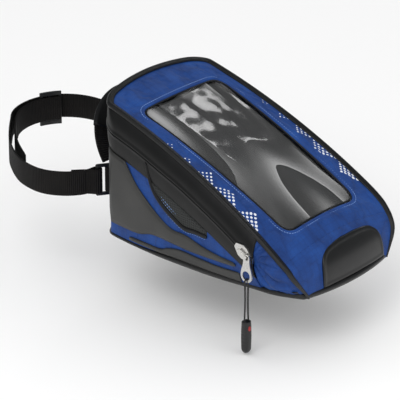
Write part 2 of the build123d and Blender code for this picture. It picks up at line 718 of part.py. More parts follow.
with BuildPart() as puller_grip:
    with BuildSketch(CORD_PLANE.offset(-GRIP_THICK / 2)):
        with BuildLine():
            tip, end = GRIP_TOP + GRIP_LENGTH - GRIP_TIP, GRIP_TOP + GRIP_LENGTH
            Polyline((-GRIP_HALF, GRIP_TOP), (GRIP_HALF, GRIP_TOP), (GRIP_HALF, tip))
            ThreePointArc((GRIP_HALF, tip), (0, end), (-GRIP_HALF, tip))
            Line((-GRIP_HALF, tip), (-GRIP_HALF, GRIP_TOP))
        make_face()
    extrude(amount=GRIP_THICK)
    straight = puller_grip.edges().filter_by(GeomType.LINE)
    fillet(straight.filter_by(lambda e: e.length > GRIP_THICK + 2), 2.2)
    top = CORD_PLANE.from_local_coords(Vector(0, GRIP_TOP, 0))
    with BuildSketch(Plane(origin=top, x_dir=HANG.z_dir, z_dir=(0, 0, -1))):
        with Locations((-STRAND, 0), (STRAND, 0)):
            Circle(CORD_RADIUS + GAP)
    extrude(amount=GRIP_SOCKET + GAP, mode=Mode.SUBTRACT)
puller_grip.part.label = "puller_grip"
export_step(puller_grip.part, "parts/puller_grip.step")


# ---- neck strap ----------------------------------------------------------------------------------
WEB_BOTTOM = STRAP_Z - WEB_WIDTH / 2
LOOP_HALF_TALL = 16.0
BAR_DIR = Vector(FAR_BAR[0] - NEAR_BAR[0], FAR_BAR[1] - NEAR_BAR[1], 0).normalized()
BAR_SPAN = hypot(FAR_BAR[0] - NEAR_BAR[0], FAR_BAR[1] - NEAR_BAR[1])
LOOP_PLANE = Plane(
    origin=((NEAR_BAR[0] + FAR_BAR[0]) / 2, (NEAR_BAR[1] + FAR_BAR[1]) / 2, STRAP_Z),
    x_dir=BAR_DIR,
    z_dir=BAR_DIR.cross(Vector(0, 0, 1)),
)

with BuildPart() as anchor_loop_right:
    with BuildSketch(LOOP_PLANE.offset(-BAR_RADIUS)):
        RectangleRounded(BAR_SPAN + 2 * BAR_RADIUS, 2 * LOOP_HALF_TALL, 1.7)
        Rectangle(BAR_SPAN - 2 * BAR_RADIUS, 2 * LOOP_HALF_TALL - 5.6, mode=Mode.SUBTRACT)
    extrude(amount=2 * BAR_RADIUS)
    fillet(anchor_loop_right.edges().filter_by(Axis.Z).filter_by(lambda e: e.length > 20), BAR_RADIUS - 0.2)
anchor_loop_right.part.label = "anchor_loop_right"
export_step(anchor_loop_right.part, "parts/anchor_loop_right.step")

with BuildPart() as anchor_loop_left:
    add(anchor_loop_right.part)
    mirror(about=Plane.YZ, mode=Mode.REPLACE)
anchor_loop_left.part.label = "anchor_loop_left"
export_step(anchor_loop_left.part, "parts/anchor_loop_left.step")

FOLD = BAR_RADIUS + 0.3 + WEB_THICK / 2  # centre line of webbing folded round a bar

with BuildPart() as anchor_tab_right:
    with BuildSketch(Plane.XY.offset(WEB_BOTTOM)):
        with BuildLine():
            back = Vector(*NEAR_BAR) - Vector(BAR_DIR.X, BAR_DIR.Y) * 0.01
            side = Vector(-BAR_DIR.Y, BAR_DIR.X) * FOLD
            ThreePointArc(back + side, Vector(*NEAR_BAR) + Vector(BAR_DIR.X, BAR_DIR.Y) * FOLD, back - side)
            Spline(back - side, (44, 120.5), (30, 122.4), tangents=((-BAR_DIR.X, -BAR_DIR.Y), (-1, 0.12)))
            Spline(back + side, (42, 122.9), (30, 124.3), tangents=((-BAR_DIR.X, -BAR_DIR.Y), (-1, 0.12)))
        trace(line_width=WEB_THICK)
    extrude(amount=WEB_WIDTH)
anchor_tab_right.part.label = "anchor_tab_right"
export_step(anchor_tab_right.part, "parts/anchor_tab_right.step")

with BuildPart() as anchor_tab_left:
    add(anchor_tab_right.part)
    mirror(about=Plane.YZ, mode=Mode.REPLACE)
anchor_tab_left.part.label = "anchor_tab_left"
export_step(anchor_tab_left.part, "parts/anchor_tab_left.step")


def bar_fold(sign):
    """Start, middle and end of the webbing's fold round a far bar; sign is 1 on the right, -1 on the left."""
    side = Vector(-BAR_DIR.Y * sign, BAR_DIR.X) * FOLD
    bar = Vector(FAR_BAR[0] * sign, FAR_BAR[1])
    return bar - side, bar - Vector(BAR_DIR.X * sign, BAR_DIR.Y) * FOLD, bar + side


def round_loop(radius, angle):
    """A point on the far end of the strap's loop."""
    return LOOP_CENTRE[0] + radius * cos(radians(angle)), LOOP_CENTRE[1] + radius * sin(radians(angle))


START_RIGHT, BACK_RIGHT, END_RIGHT = bar_fold(1)
START_LEFT, BACK_LEFT, END_LEFT = bar_fold(-1)
LEAVE_RIGHT, LEAVE_LEFT = (BAR_DIR.X, BAR_DIR.Y), (-BAR_DIR.X, BAR_DIR.Y)
LOOP_LEFT_ANGLE = 135
STRAP_LEFT_SIDE = [(-70, 235), (-90, 206), (-98, 183), (-97, 165), (-88, 149), (-75, 137.5)]

with BuildPart() as neck_strap:
    with BuildSketch(Plane.XY.offset(WEB_BOTTOM)):
        with BuildLine():
            Spline((73.6, 150.9), (68.3, 138.6), END_RIGHT, tangents=((-0.3, -0.95), (-BAR_DIR.X, -BAR_DIR.Y)))
            ThreePointArc(END_RIGHT, BACK_RIGHT, START_RIGHT)
            Spline(START_RIGHT, (74, 142), (78, 170), round_loop(LOOP_RADIUS, 0), tangents=(LEAVE_RIGHT, (0, 1)))
            ThreePointArc(*(round_loop(LOOP_RADIUS, angle) for angle in (0, 70, LOOP_LEFT_ANGLE)))
            Spline(
                round_loop(LOOP_RADIUS, LOOP_LEFT_ANGLE),
                *STRAP_LEFT_SIDE,
                START_LEFT,
                tangents=((-1, -1), (BAR_DIR.X, -BAR_DIR.Y)),
            )
            ThreePointArc(START_LEFT, BACK_LEFT, END_LEFT)
            Spline(END_LEFT, (-73.4, 139.6), (-81.2, 146.7), tangents=(LEAVE_LEFT, (-0.74, 0.67)))
        trace(line_width=WEB_THICK)
    extrude(amount=WEB_WIDTH)
neck_strap.part.label = "neck_strap"
export_step(neck_strap.part, "parts/neck_strap.step")

with BuildPart() as strap_tail:
    with BuildSketch(Plane.XY.offset(WEB_BOTTOM)):
        with BuildLine():
            ThreePointArc(*(round_loop(TAIL_RADIUS, angle) for angle in (48, 90, LOOP_LEFT_ANGLE)))
            free_end = [(-64, 230), (-83, 203)]
            Spline(round_loop(TAIL_RADIUS, LOOP_LEFT_ANGLE), *free_end, tangents=((-1, -1), (-0.5, -0.9)))
        trace(line_width=WEB_THICK)
    extrude(amount=WEB_WIDTH)
strap_tail.part.label = "strap_tail"
export_step(strap_tail.part, "parts/strap_tail.step")

GLIDE_INNER, GLIDE_OUTER = 47.9, 50.6
GLIDE_HALF_TALL = 17.0
GLIDE_HALF_SPAN, SLOT_FROM, SLOT_TO = 13.0, 1.6, 10.0  # degrees round the loop


def loop_sector(from_angle, to_angle, inner, outer):
    """A piece of ring about the loop's centre, seen from above."""
    mid = (from_angle + to_angle) / 2
    with BuildSketch(mode=Mode.PRIVATE) as sector:
        with BuildLine():
            ThreePointArc(*(round_loop(inner, angle) for angle in (from_angle, mid, to_angle)))
            ThreePointArc(*(round_loop(outer, angle) for angle in (from_angle, mid, to_angle)))
            Line(round_loop(inner, from_angle), round_loop(outer, from_angle))
            Line(round_loop(inner, to_angle), round_loop(outer, to_angle))
        make_face()
    return sector.sketch


with BuildPart() as tri_glide:
    with BuildSketch(Plane.XY.offset(STRAP_Z - GLIDE_HALF_TALL)):
        add(loop_sector(GLIDE_ANGLE - GLIDE_HALF_SPAN, GLIDE_ANGLE + GLIDE_HALF_SPAN, GLIDE_INNER, GLIDE_OUTER))
    extrude(amount=2 * GLIDE_HALF_TALL)
    fillet(tri_glide.edges().filter_by(Axis.Z), 1.0)
    with BuildSketch(Plane.XY.offset(STRAP_Z - WEB_WIDTH / 2 - 1)):
        add(loop_sector(GLIDE_ANGLE - SLOT_TO, GLIDE_ANGLE - SLOT_FROM, GLIDE_INNER - 2, GLIDE_OUTER + 2))
        add(loop_sector(GLIDE_ANGLE + SLOT_FROM, GLIDE_ANGLE + SLOT_TO, GLIDE_INNER - 2, GLIDE_OUTER + 2))
    extrude(amount=WEB_WIDTH + 2, mode=Mode.SUBTRACT)
tri_glide.part.label = "tri_glide"
export_step(tri_glide.part, "parts/tri_glide.step")


# ---- carry handle --------------------------------------------------------------------------------
HANDLE_PLANE = Plane(
    origin=(0, HANDLE_Y, HANDLE_Z),
    x_dir=(1, 0, 0),
    z_dir=(0, -cos(radians(HANDLE_LEAN)), sin(radians(HANDLE_LEAN))),
)

with BuildPart() as carry_handle:
    with BuildSketch(HANDLE_PLANE.offset(-WEB_THICK / 2)):
        with BuildLine():
            ThreePointArc((-HANDLE_HALF, 0), (0, HANDLE_RISE), (HANDLE_HALF, 0))
        trace(line_width=WEB_WIDTH)
    extrude(amount=WEB_THICK)
carry_handle.part.label = "carry_handle"
export_step(carry_handle.part, "parts/carry_handle.step")

with BuildPart() as handle_tab_right:
    add(layer(WEB_PAD, -GAP))
    low, high = HANDLE_TAB_Z
    keep(region(100, Y_FAR, x0=HANDLE_HALF - WEB_WIDTH / 2, x1=HANDLE_HALF + WEB_WIDTH / 2 - 1, z0=low, z1=high))
handle_tab_right.part.label = "handle_tab_right"
export_step(handle_tab_right.part, "parts/handle_tab_right.step")

with BuildPart() as handle_tab_left:
    add(handle_tab_right.part)
    mirror(about=Plane.YZ, mode=Mode.REPLACE)
handle_tab_left.part.label = "handle_tab_left"
export_step(handle_tab_left.part, "parts/handle_tab_left.step")
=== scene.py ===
import json
import math

import bmesh
import bpy
import numpy as np
from mathutils import Matrix, Vector


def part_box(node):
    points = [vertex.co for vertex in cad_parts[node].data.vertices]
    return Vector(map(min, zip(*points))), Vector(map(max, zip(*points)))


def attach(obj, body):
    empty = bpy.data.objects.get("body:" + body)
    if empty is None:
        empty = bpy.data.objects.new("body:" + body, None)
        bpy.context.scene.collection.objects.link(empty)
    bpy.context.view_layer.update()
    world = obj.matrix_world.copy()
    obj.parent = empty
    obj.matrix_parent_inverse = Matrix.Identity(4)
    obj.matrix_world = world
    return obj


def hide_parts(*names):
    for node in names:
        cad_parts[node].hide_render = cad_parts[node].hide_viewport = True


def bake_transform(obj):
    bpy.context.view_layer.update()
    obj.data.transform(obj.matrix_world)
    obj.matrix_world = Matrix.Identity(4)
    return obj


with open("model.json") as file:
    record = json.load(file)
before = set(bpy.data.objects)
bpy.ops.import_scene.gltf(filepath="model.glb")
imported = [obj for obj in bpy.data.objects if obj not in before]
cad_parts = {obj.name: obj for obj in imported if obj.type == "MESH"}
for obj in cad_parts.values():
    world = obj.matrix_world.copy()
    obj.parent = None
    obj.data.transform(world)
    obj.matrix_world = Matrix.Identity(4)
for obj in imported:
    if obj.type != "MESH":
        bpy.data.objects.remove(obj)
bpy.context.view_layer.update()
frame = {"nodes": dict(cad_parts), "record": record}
NODES = frame["nodes"]
NODES_BODY = {n: b for b, ns in frame["record"]["behaviour"]["bodies"].items() for n in ns}

# ---- shape of the bag, in millimetres --------------------------------------------------------------------------
NOSE_Y, TALL_Y = -122.0, 123.0
FLARE_Y, NOSE_LENGTH = -64.0, 60.0
SEAM_LOW_Z, SEAM_HIGH_Y, SEAM_HIGH_Z, SEAM_RADIUS = 62.6, 101.0, 130.0, 700.0
SEAM_HALF, SEAM_TAPER = 76.6, 0.043
NOSE_DROP, NOSE_PINCH = 19.5, 20.0
BASE_HALF, BULGE = 75.5, 7.0
ZIP_DROP, BAND_DROP = 20.0, 38.0
HINGE_Y, ZIP_END_Y = -98.0, -76.0
CORNER = (42.8, 82.5, 36.2)
HANDLE_Z, HANDLE_LEAN = 65.5, 36.0

chord = math.hypot(SEAM_HIGH_Y - FLARE_Y, SEAM_HIGH_Z - SEAM_LOW_Z)
tilt = math.atan2(SEAM_HIGH_Z - SEAM_LOW_Z, SEAM_HIGH_Y - FLARE_Y)
depth = math.sqrt(SEAM_RADIUS**2 - chord**2 / 4)
ARC_Y = (FLARE_Y + SEAM_HIGH_Y) / 2 + depth * math.sin(tilt)
ARC_Z = (SEAM_LOW_Z + SEAM_HIGH_Z) / 2 - depth * math.cos(tilt)


def nose_share(y):
    return np.clip((FLARE_Y - y) / NOSE_LENGTH, 0, None) ** 5


def seam_z(y):
    return ARC_Z + np.sqrt(SEAM_RADIUS**2 - (y - ARC_Y) ** 2) - NOSE_DROP * nose_share(y)


def seam_half(y):
    return SEAM_HALF - SEAM_TAPER * (y - FLARE_Y) - NOSE_PINCH * nose_share(y)


def base_half(y):
    low = BASE_HALF - 9e-6 * np.clip(20 - y, 0, None) ** 3
    return low - 1.2e-3 * np.clip(y - 30, 0, None) ** 2


def crown(y):
    return 0.6 + (2.4 + 8.0 * (np.clip(30 - y, 0, None) / 142) ** 2) * (1 - np.clip(nose_share(y), 0, 1) ** 1.6)


def smooth(a, b, x):
    t = np.clip((x - a) / (b - a), 0, 1)
    return t * t * (3 - 2 * t)


def lid_height(x, y):
    """Height of the lid's outer skin."""
    t = np.clip(np.abs(x) / seam_half(y), 0, 1)
    return seam_z(y) + crown(y) * (1 - t**2)


# ---- lines round the bag: u runs from the left of the hinge, round the tall end, to the right ---------------------
def soften(line, times):
    line = line.copy()
    for _ in range(times):
        line[1:-1] = (line[:-2] + 2 * line[1:-1] + line[2:]) / 4
    return line


def resample(line, count):
    line = np.asarray(line, float)
    step = np.linalg.norm(np.diff(line, axis=0), axis=1)
    run = np.concatenate([[0], np.cumsum(step)])
    at = np.linspace(0, run[-1], count)
    return np.stack([np.interp(at, run, line[:, k]) for k in range(line.shape[1])], 1)


def run_length(line):
    step = np.linalg.norm(np.diff(line, axis=0), axis=1)
    return np.concatenate([[0], np.cumsum(step)])


# ---- mesh helpers ---------------------------------------------------------------------------------------------------
PIECES = {}


def new_mesh(name, verts, faces, uvs=None):
    """A smooth-shaded mesh object from millimetre points; uvs is one (u, v) in millimetres per vertex."""
    me = bpy.data.meshes.new(name)
    me.from_pydata([tuple(v) for v in np.asarray(verts, float) / 1000], [], [tuple(int(i) for i in f) for f in faces])
    me.update()
    if uvs is not None:
        layer = me.uv_layers.new(name="UVMap")
        loops = np.zeros(len(me.loops), int)
        me.loops.foreach_get("vertex_index", loops)
        layer.data.foreach_set("uv", (np.asarray(uvs, float)[loops] / 1000).astype(np.float32).ravel())
    me.polygons.foreach_set("use_smooth", [True] * len(me.polygons))
    o = bpy.data.objects.new(name, me)
    bpy.context.scene.collection.objects.link(o)
    return o


def grid_faces(nu, nv, wrap=False):
    faces = []
    for i in range(nu if wrap else nu - 1):
        a, b = i * nv, ((i + 1) % nu) * nv
        for j in range(nv - 1):
            faces.append((a + j, b + j, b + j + 1, a + j + 1))
    return faces


def grid_normals(p):
    du = np.gradient(p, axis=0)
    dv = np.gradient(p, axis=1)
    n = np.cross(du, dv)
    return n / np.maximum(np.linalg.norm(n, axis=2, keepdims=True), 1e-9)


def sheet(name, p, uv, thick, wrap=False, flip=False):
    """A sheet of cloth over a grid of points p (nu, nv, 3), with its thickness laid on the inner side."""
    nu, nv = p.shape[:2]
    o = new_mesh(name, p.reshape(-1, 3), grid_faces(nu, nv, wrap), uv.reshape(-1, 2))
    if flip:
        o.data.flip_normals()
    return thicken(o, thick) if thick else o


def thicken(o, thick):
    """Thickness in millimetres, laid on the inner side."""
    m = o.modifiers.new("thick", "SOLIDIFY")
    m.thickness, m.offset, m.use_even_offset = thick / 1000, -1, False
    return bake(o)


def bake(o):
    """Apply every modifier."""
    dg = bpy.context.evaluated_depsgraph_get()
    me = bpy.data.meshes.new_from_object(o.evaluated_get(dg), preserve_all_data_layers=True, depsgraph=dg)
    o.modifiers.clear()
    old = o.data
    o.data = me
    me.name = old.name
    bpy.data.meshes.remove(old)
    return o


def frames(path, up, closed=False):
    """Unit tangent, side and up vectors along a path, with up kept near the given direction."""
    if closed:
        t = np.roll(path, -1, axis=0) - np.roll(path, 1, axis=0)
    else:
        t = np.gradient(path, axis=0)
    t /= np.maximum(np.linalg.norm(t, axis=1, keepdims=True), 1e-9)
    up = np.broadcast_to(np.asarray(up, float), path.shape)
    side = np.cross(t, up)
    side /= np.maximum(np.linalg.norm(side, axis=1, keepdims=True), 1e-9)
    return t, side, np.cross(side, t)


def sweep(name, path, profile, up=(0, 0, 1), closed=False, scale=None):
    """A closed profile (side, up) carried along a path, scaled along it; its uv is length and distance round."""
    path = np.asarray(path, float)
    profile = np.asarray(profile, float)
    _, side, top = frames(path, up, closed)
    n, m = len(path), len(profile)
    size = np.ones(n) if scale is None else scale
    verts = path[:, None, :] + size[:, None, None] * (profile[None, :, :1] * side[:, None, :] + profile[None, :, 1:2] * top[:, None, :])
    loop = np.vstack([profile, profile[:1]])
    round_ = run_length(loop)
    length = run_length(path)
    verts = np.concatenate([verts, verts[:, :1]], axis=1)
    uv = np.stack(np.broadcast_arrays(length[:, None], round_[None, :]), -1)
    faces = grid_faces(n, m + 1, False)
    v = verts.reshape(-1, 3)
    if closed:
        a, b = (n - 1) * (m + 1), 0
        faces += [(a + j, b + j, b + j + 1, a + j + 1) for j in range(m)]
    else:
        faces.append(tuple(range(m - 1, -1, -1)))
        faces.append(tuple((n - 1) * (m + 1) + j for j in range(m)))
    o = new_mesh(name, v, faces, uv.reshape(-1, 2))
    bm = bmesh.new()
    bm.from_mesh(o.data)
    bmesh.ops.remove_doubles(bm, verts=bm.verts, dist=1e-6)
    bmesh.ops.recalc_face_normals(bm, faces=bm.faces)
    bm.to_mesh(o.data)
    bm.free()
    return o


def ring_profile(r, n=14):
    a = np.linspace(0, 2 * math.pi, n, endpoint=False)
    return np.stack([r * np.cos(a), r * np.sin(a)], 1)


def flat_profile(width, thick, n=12):
    """A flat band with rounded edges: thickness along side, width along up."""
    w, t = width / 2 - thick / 2, thick / 2
    pts = []
    for a in np.linspace(0, math.pi, 5):
        pts.append((t * math.cos(a), w + t * math.sin(a)))
    pts += [(-t, k) for k in np.linspace(w, -w, n)[1:-1]]
    for a in np.linspace(math.pi, 2 * math.pi, 5):
        pts.append((t * math.cos(a), -w + t * math.sin(a)))
    pts += [(t, k) for k in np.linspace(-w, w, n)[1:-1]]
    return np.array(pts)


def curve(points, count):
    """A smooth Catmull-Rom line through the points."""
    p = np.asarray(points, float)
    ext = np.vstack([2 * p[0] - p[1], p, 2 * p[-1] - p[-2]])
    out = []
    for i in range(len(p) - 1):
        a, b, c, d = ext[i:i + 4]
        for t in np.linspace(0, 1, 24, endpoint=False):
            out.append(0.5 * ((2 * b) + (c - a) * t + (2 * a - 5 * b + 4 * c - d) * t**2 + (3 * b - a - 3 * c + d) * t**3))
    out.append(p[-1])
    return resample(np.array(out), count)


def join(name, objects):
    """Several meshes made one."""
    verts, faces, uvs, base = [], [], [], 0
    has_uv = all(o.data.uv_layers for o in objects)
    bm = bmesh.new()
    for o in objects:
        bm.from_mesh(o.data)
    me = bpy.data.meshes.new(name)
    bm.to_mesh(me)
    bm.free()
    me.polygons.foreach_set("use_smooth", [True] * len(me.polygons))
    for o in objects:
        old = o.data
        bpy.data.objects.remove(o)
        bpy.data.meshes.remove(old)
    o = bpy.data.objects.new(name, me)
    bpy.context.scene.collection.objects.link(o)
    return o


def stitches(name, path, normal, pitch=3.2, length=2.2, radius=0.28):
    """A row of sewing stitches lying along a path; normal lifts them off the cloth."""
    path = np.asarray(path, float)
    run = run_length(path)
    count = max(2, int(run[-1] / pitch))
    mids = (np.arange(count) + 0.5) * run[-1] / count
    normal = np.broadcast_to(np.asarray(normal, float), path.shape)
    verts, faces = [], []
    rings = ((-0.5, 0.35, -0.25), (-0.3, 1.0, 0.0), (0.0, 1.15, 0.12), (0.3, 1.0, 0.0), (0.5, 0.35, -0.25))
    for m in mids:
        p = np.array([np.interp(m, run, path[:, k]) for k in range(3)])
        q = np.array([np.interp(min(m + 0.5, run[-1]), run, path[:, k]) for k in range(3)])
        r = np.array([np.interp(max(m - 0.5, 0), run, path[:, k]) for k in range(3)])
        t = (q - r) / max(np.linalg.norm(q - r), 1e-9)
        n = np.array([np.interp(m, run, normal[:, k]) for k in range(3)])
        n -= t * n.dot(t)
        n /= max(np.linalg.norm(n), 1e-9)
        s = np.cross(t, n)
        base = len(verts)
        for along, fat, lift in rings:
            c = p + t * along * length + n * (radius * 0.6 + lift * radius)
            for a in np.linspace(0, 2 * math.pi, 6, endpoint=False):
                verts.append(c + radius * fat * (math.cos(a) * s + math.sin(a) * n))
        for k in range(4):
            for j in range(6):
                a, b = base + k * 6 + j, base + k * 6 + (j + 1) % 6
                faces.append((a, b, b + 6, a + 6))
        faces.append(tuple(base + j for j in range(5, -1, -1)))
        faces.append(tuple(base + 24 + j for j in range(6)))
    return new_mesh(name, np.array(verts), faces, np.zeros((len(verts), 2)))


# ---- materials -----------------------------------------------------------------------------------------------------------
class Shader:
    """A small helper that builds one node material."""

    def __init__(self, name):
        self.mat = bpy.data.materials.new(name)
        self.mat.use_nodes = True
        self.tree = self.mat.node_tree
        self.tree.nodes.clear()
        self.out = self.tree.nodes.new("ShaderNodeOutputMaterial")
        self.bsdf = self.tree.nodes.new("ShaderNodeBsdfPrincipled")
        self.tree.links.new(self.bsdf.outputs[0], self.out.inputs[0])

    def node(self, kind, inputs=None, **settings):
        n = self.tree.nodes.new(kind)
        for k, v in settings.items():
            setattr(n, k, v)
        for k, v in (inputs or {}).items():
            self.put(n.inputs[k], v)
        return n

    def put(self, socket, value):
        if isinstance(value, bpy.types.NodeSocket):
            self.tree.links.new(value, socket)
        elif isinstance(value, bpy.types.Node):
            self.tree.links.new(value.outputs[0], socket)
        else:
            socket.default_value = value

    def set(self, **values):
        for k, v in values.items():
            self.put(self.bsdf.inputs[k.replace("_", " ")], v)

    def uv(self, scale=(1, 1, 1), source="UV", rotate=0.0):
        c = self.node("ShaderNodeTexCoord")
        m = self.node("ShaderNodeMapping", {"Vector": c.outputs[source], "Scale": scale, "Rotation": (0, 0, rotate)})
        return m.outputs[0]

    def noise(self, vector, scale, detail=3.0, rough=0.5):
        return self.node("ShaderNodeTexNoise", {"Vector": vector, "Scale": scale, "Detail": detail, "Roughness": rough}).outputs[0]

    def wave(self, vector, axis="X", scale=1.0, distortion=0.0):
        n = self.node("ShaderNodeTexWave", {"Vector": vector, "Scale": scale, "Distortion": distortion}, bands_direction=axis)
        return n.outputs["Fac"]

    def math(self, op, a, b=0.0, c=0.0):
        n = self.node("ShaderNodeMath", operation=op)
        self.put(n.inputs[0], a)
        self.put(n.inputs[1], b)
        self.put(n.inputs[2], c)
        return n.outputs[0]

    def ramp(self, fac, stops):
        n = self.node("ShaderNodeValToRGB", {"Fac": fac})
        e = n.color_ramp.elements
        e[0].position, e[0].color = stops[0][0], (*stops[0][1], 1)
        e[1].position, e[1].color = stops[-1][0], (*stops[-1][1], 1)
        for pos, col in stops[1:-1]:
            k = e.new(pos)
            k.color = (*col, 1)
        return n.outputs[0]

    def mix(self, fac, a, b, mode="MIX"):
        n = self.node("ShaderNodeMix", data_type="RGBA", blend_type=mode)
        self.put(n.inputs[0], fac)
        self.put(n.inputs[6], a)
        self.put(n.inputs[7], b)
        return n.outputs[2]

    def bump(self, height, strength, distance, normal=None):
        inputs = {"Height": height, "Strength": strength, "Distance": distance}
        if normal is not None:
            inputs["Normal"] = normal
        return self.node("ShaderNodeBump", inputs).outputs[0]


def rgb(r, g, b):
    """sRGB 0..255 to linear."""
    def lin(c):
        c /= 255.0
        return c / 12.92 if c <= 0.04045 else ((c + 0.055) / 1.055) ** 2.4
    return (lin(r), lin(g), lin(b))


def plain_weave(s, pitch, source="UV"):
    """A fine over-and-under weave as a height; pitch is in metres."""
    v = s.uv((1 / pitch, 1 / pitch, 1 / pitch), source)
    sep = s.node("ShaderNodeSeparateXYZ", {"Vector": v})
    a = s.math("SINE", s.math("MULTIPLY", sep.outputs[0], math.pi))
    b = s.math("SINE", s.math("MULTIPLY", sep.outputs[1], math.pi))
    return s.math("MULTIPLY", a, b)


def ripstop(s, pitch, source="UV"):
    """Thin raised threads on a square grid; pitch is in metres."""
    v = s.uv((1 / pitch, 1 / pitch, 1 / pitch), source)
    sep = s.node("ShaderNodeSeparateXYZ", {"Vector": v})
    lines = []
    for k in (0, 1):
        f = s.math("FRACT", sep.outputs[k])
        lines.append(s.math("SUBTRACT", 1.0, s.math("SMOOTH_MIN", s.math("MULTIPLY", s.math("PINGPONG", f, 0.5), 7.0), 1.0, 0.2)))
    return s.math("MAXIMUM", lines[0], lines[1])


def make_blue():
    s = Shader("blue_ripstop")
    uv = s.uv()
    cloud = s.noise(uv, 28.0, 4.0, 0.6)
    fine = s.noise(s.uv((900, 900, 900)), 1.0, 2.0)
    weave = plain_weave(s, 0.00085)
    rip = ripstop(s, 0.0052)
    deep, mid, light = rgb(8, 38, 94), rgb(14, 54, 120), rgb(22, 70, 142)
    base = s.ramp(cloud, [(0.3, deep), (0.52, mid), (0.75, light)])
    base = s.mix(s.math("MULTIPLY", fine, 0.35), base, (*rgb(34, 84, 156), 1))
    base = s.mix(s.math("MULTIPLY", rip, 0.16), base, (*rgb(14, 32, 78), 1))
    # painted shade: thin crease lines darken the blue, and the same lines are also bumped into the normal
    crease_painted_light = s.noise(s.uv((16, 9, 12), rotate=0.5), 2.2, 3.0, 0.45)
    crease_painted_light = s.math("POWER", s.math("SUBTRACT", 1.0, s.math("ABSOLUTE", s.math("MULTIPLY_ADD", crease_painted_light, 2.0, -1.0))), 14.0)
    base = s.mix(s.math("MULTIPLY", crease_painted_light, 0.35), base, (*rgb(12, 30, 74), 1))
    n = s.bump(s.math("ADD", s.math("MULTIPLY", weave, 0.35), s.math("MULTIPLY", rip, 0.5)), 0.55, 0.0002)
    n = s.bump(crease_painted_light, 0.35, 0.0008, n)
    n = s.bump(s.noise(uv, 45.0, 3.0, 0.55), 0.3, 0.0035, n)
    s.set(Base_Color=base, Roughness=s.math("MULTIPLY_ADD", cloud, 0.2, 0.5), Normal=n, Sheen_Weight=0.08, Sheen_Roughness=0.5)
    s.bsdf.inputs["Sheen Tint"].default_value = (*rgb(140, 170, 230), 1)
    s.bsdf.inputs["Specular IOR Level"].default_value = 0.25
    return s.mat


def make_cloth(name, color, light, pitch, rough=0.75, sheen=0.3, bump=0.5, source="UV"):
    s = Shader(name)
    cloud = s.noise(s.uv(source=source), 40.0, 4.0, 0.6)
    weave = plain_weave(s, pitch, source)
    base = s.ramp(cloud, [(0.3, color), (0.75, light)])
    # painted highlight and shade: the weave's raised threads are lightened, and the hollows between them stay darker
    base = s.mix(s.math("MULTIPLY_ADD", weave, 0.12, 0.12), base, (*light, 1))
    n = s.bump(weave, bump, pitch * 0.3)
    n = s.bump(s.noise(s.uv(source=source), 60.0, 3.0), 0.2, 0.002, n)
    s.set(Base_Color=base, Roughness=rough, Normal=n, Sheen_Weight=sheen, Sheen_Roughness=0.5)
    return s.mat


def make_coated(name, color, light, rough=0.42, grain=0.0009, source="UV"):
    """Smooth polyurethane-coated cloth with a fine grain."""
    s = Shader(name)
    cloud = s.noise(s.uv(source=source), 22.0, 3.0)
    grainy = s.noise(s.uv((1 / grain,) * 3, source), 1.0, 3.0, 0.6)
    base = s.ramp(cloud, [(0.35, color), (0.7, light)])
    n = s.bump(grainy, 0.3, 0.00012)
    n = s.bump(s.noise(s.uv(source=source), 35.0, 2.0), 0.25, 0.0025, n)
    s.set(Base_Color=base, Normal=n, Roughness=s.math("MULTIPLY_ADD", grainy, 0.16, rough - 0.08), Specular_IOR_Level=0.3)
    return s.mat


def make_webbing():
    s = Shader("webbing_black")
    v = s.uv((1 / 0.0019, 1, 1))
    sep = s.node("ShaderNodeSeparateXYZ", {"Vector": v})
    ribs = s.math("SINE", s.math("MULTIPLY", sep.outputs[0], 2 * math.pi))
    fine = s.noise(s.uv((1 / 0.0006, 1 / 0.0018, 1)), 1.0, 2.0)
    height = s.math("MULTIPLY_ADD", fine, 0.5, ribs)
    cloud = s.noise(s.uv(), 60.0, 4.0)
    # partly random tone from the cloud, partly painted shade and highlight: the rib hollows darker, the raised ribs
    # lighter
    base = s.ramp(s.math("MULTIPLY_ADD", height, 0.3, cloud), [(0.2, rgb(5, 4, 4)), (0.9, rgb(20, 17, 15))])
    n = s.bump(height, 0.8, 0.0003)
    s.set(Base_Color=base, Roughness=0.75, Normal=n, Specular_IOR_Level=0.25)
    return s.mat


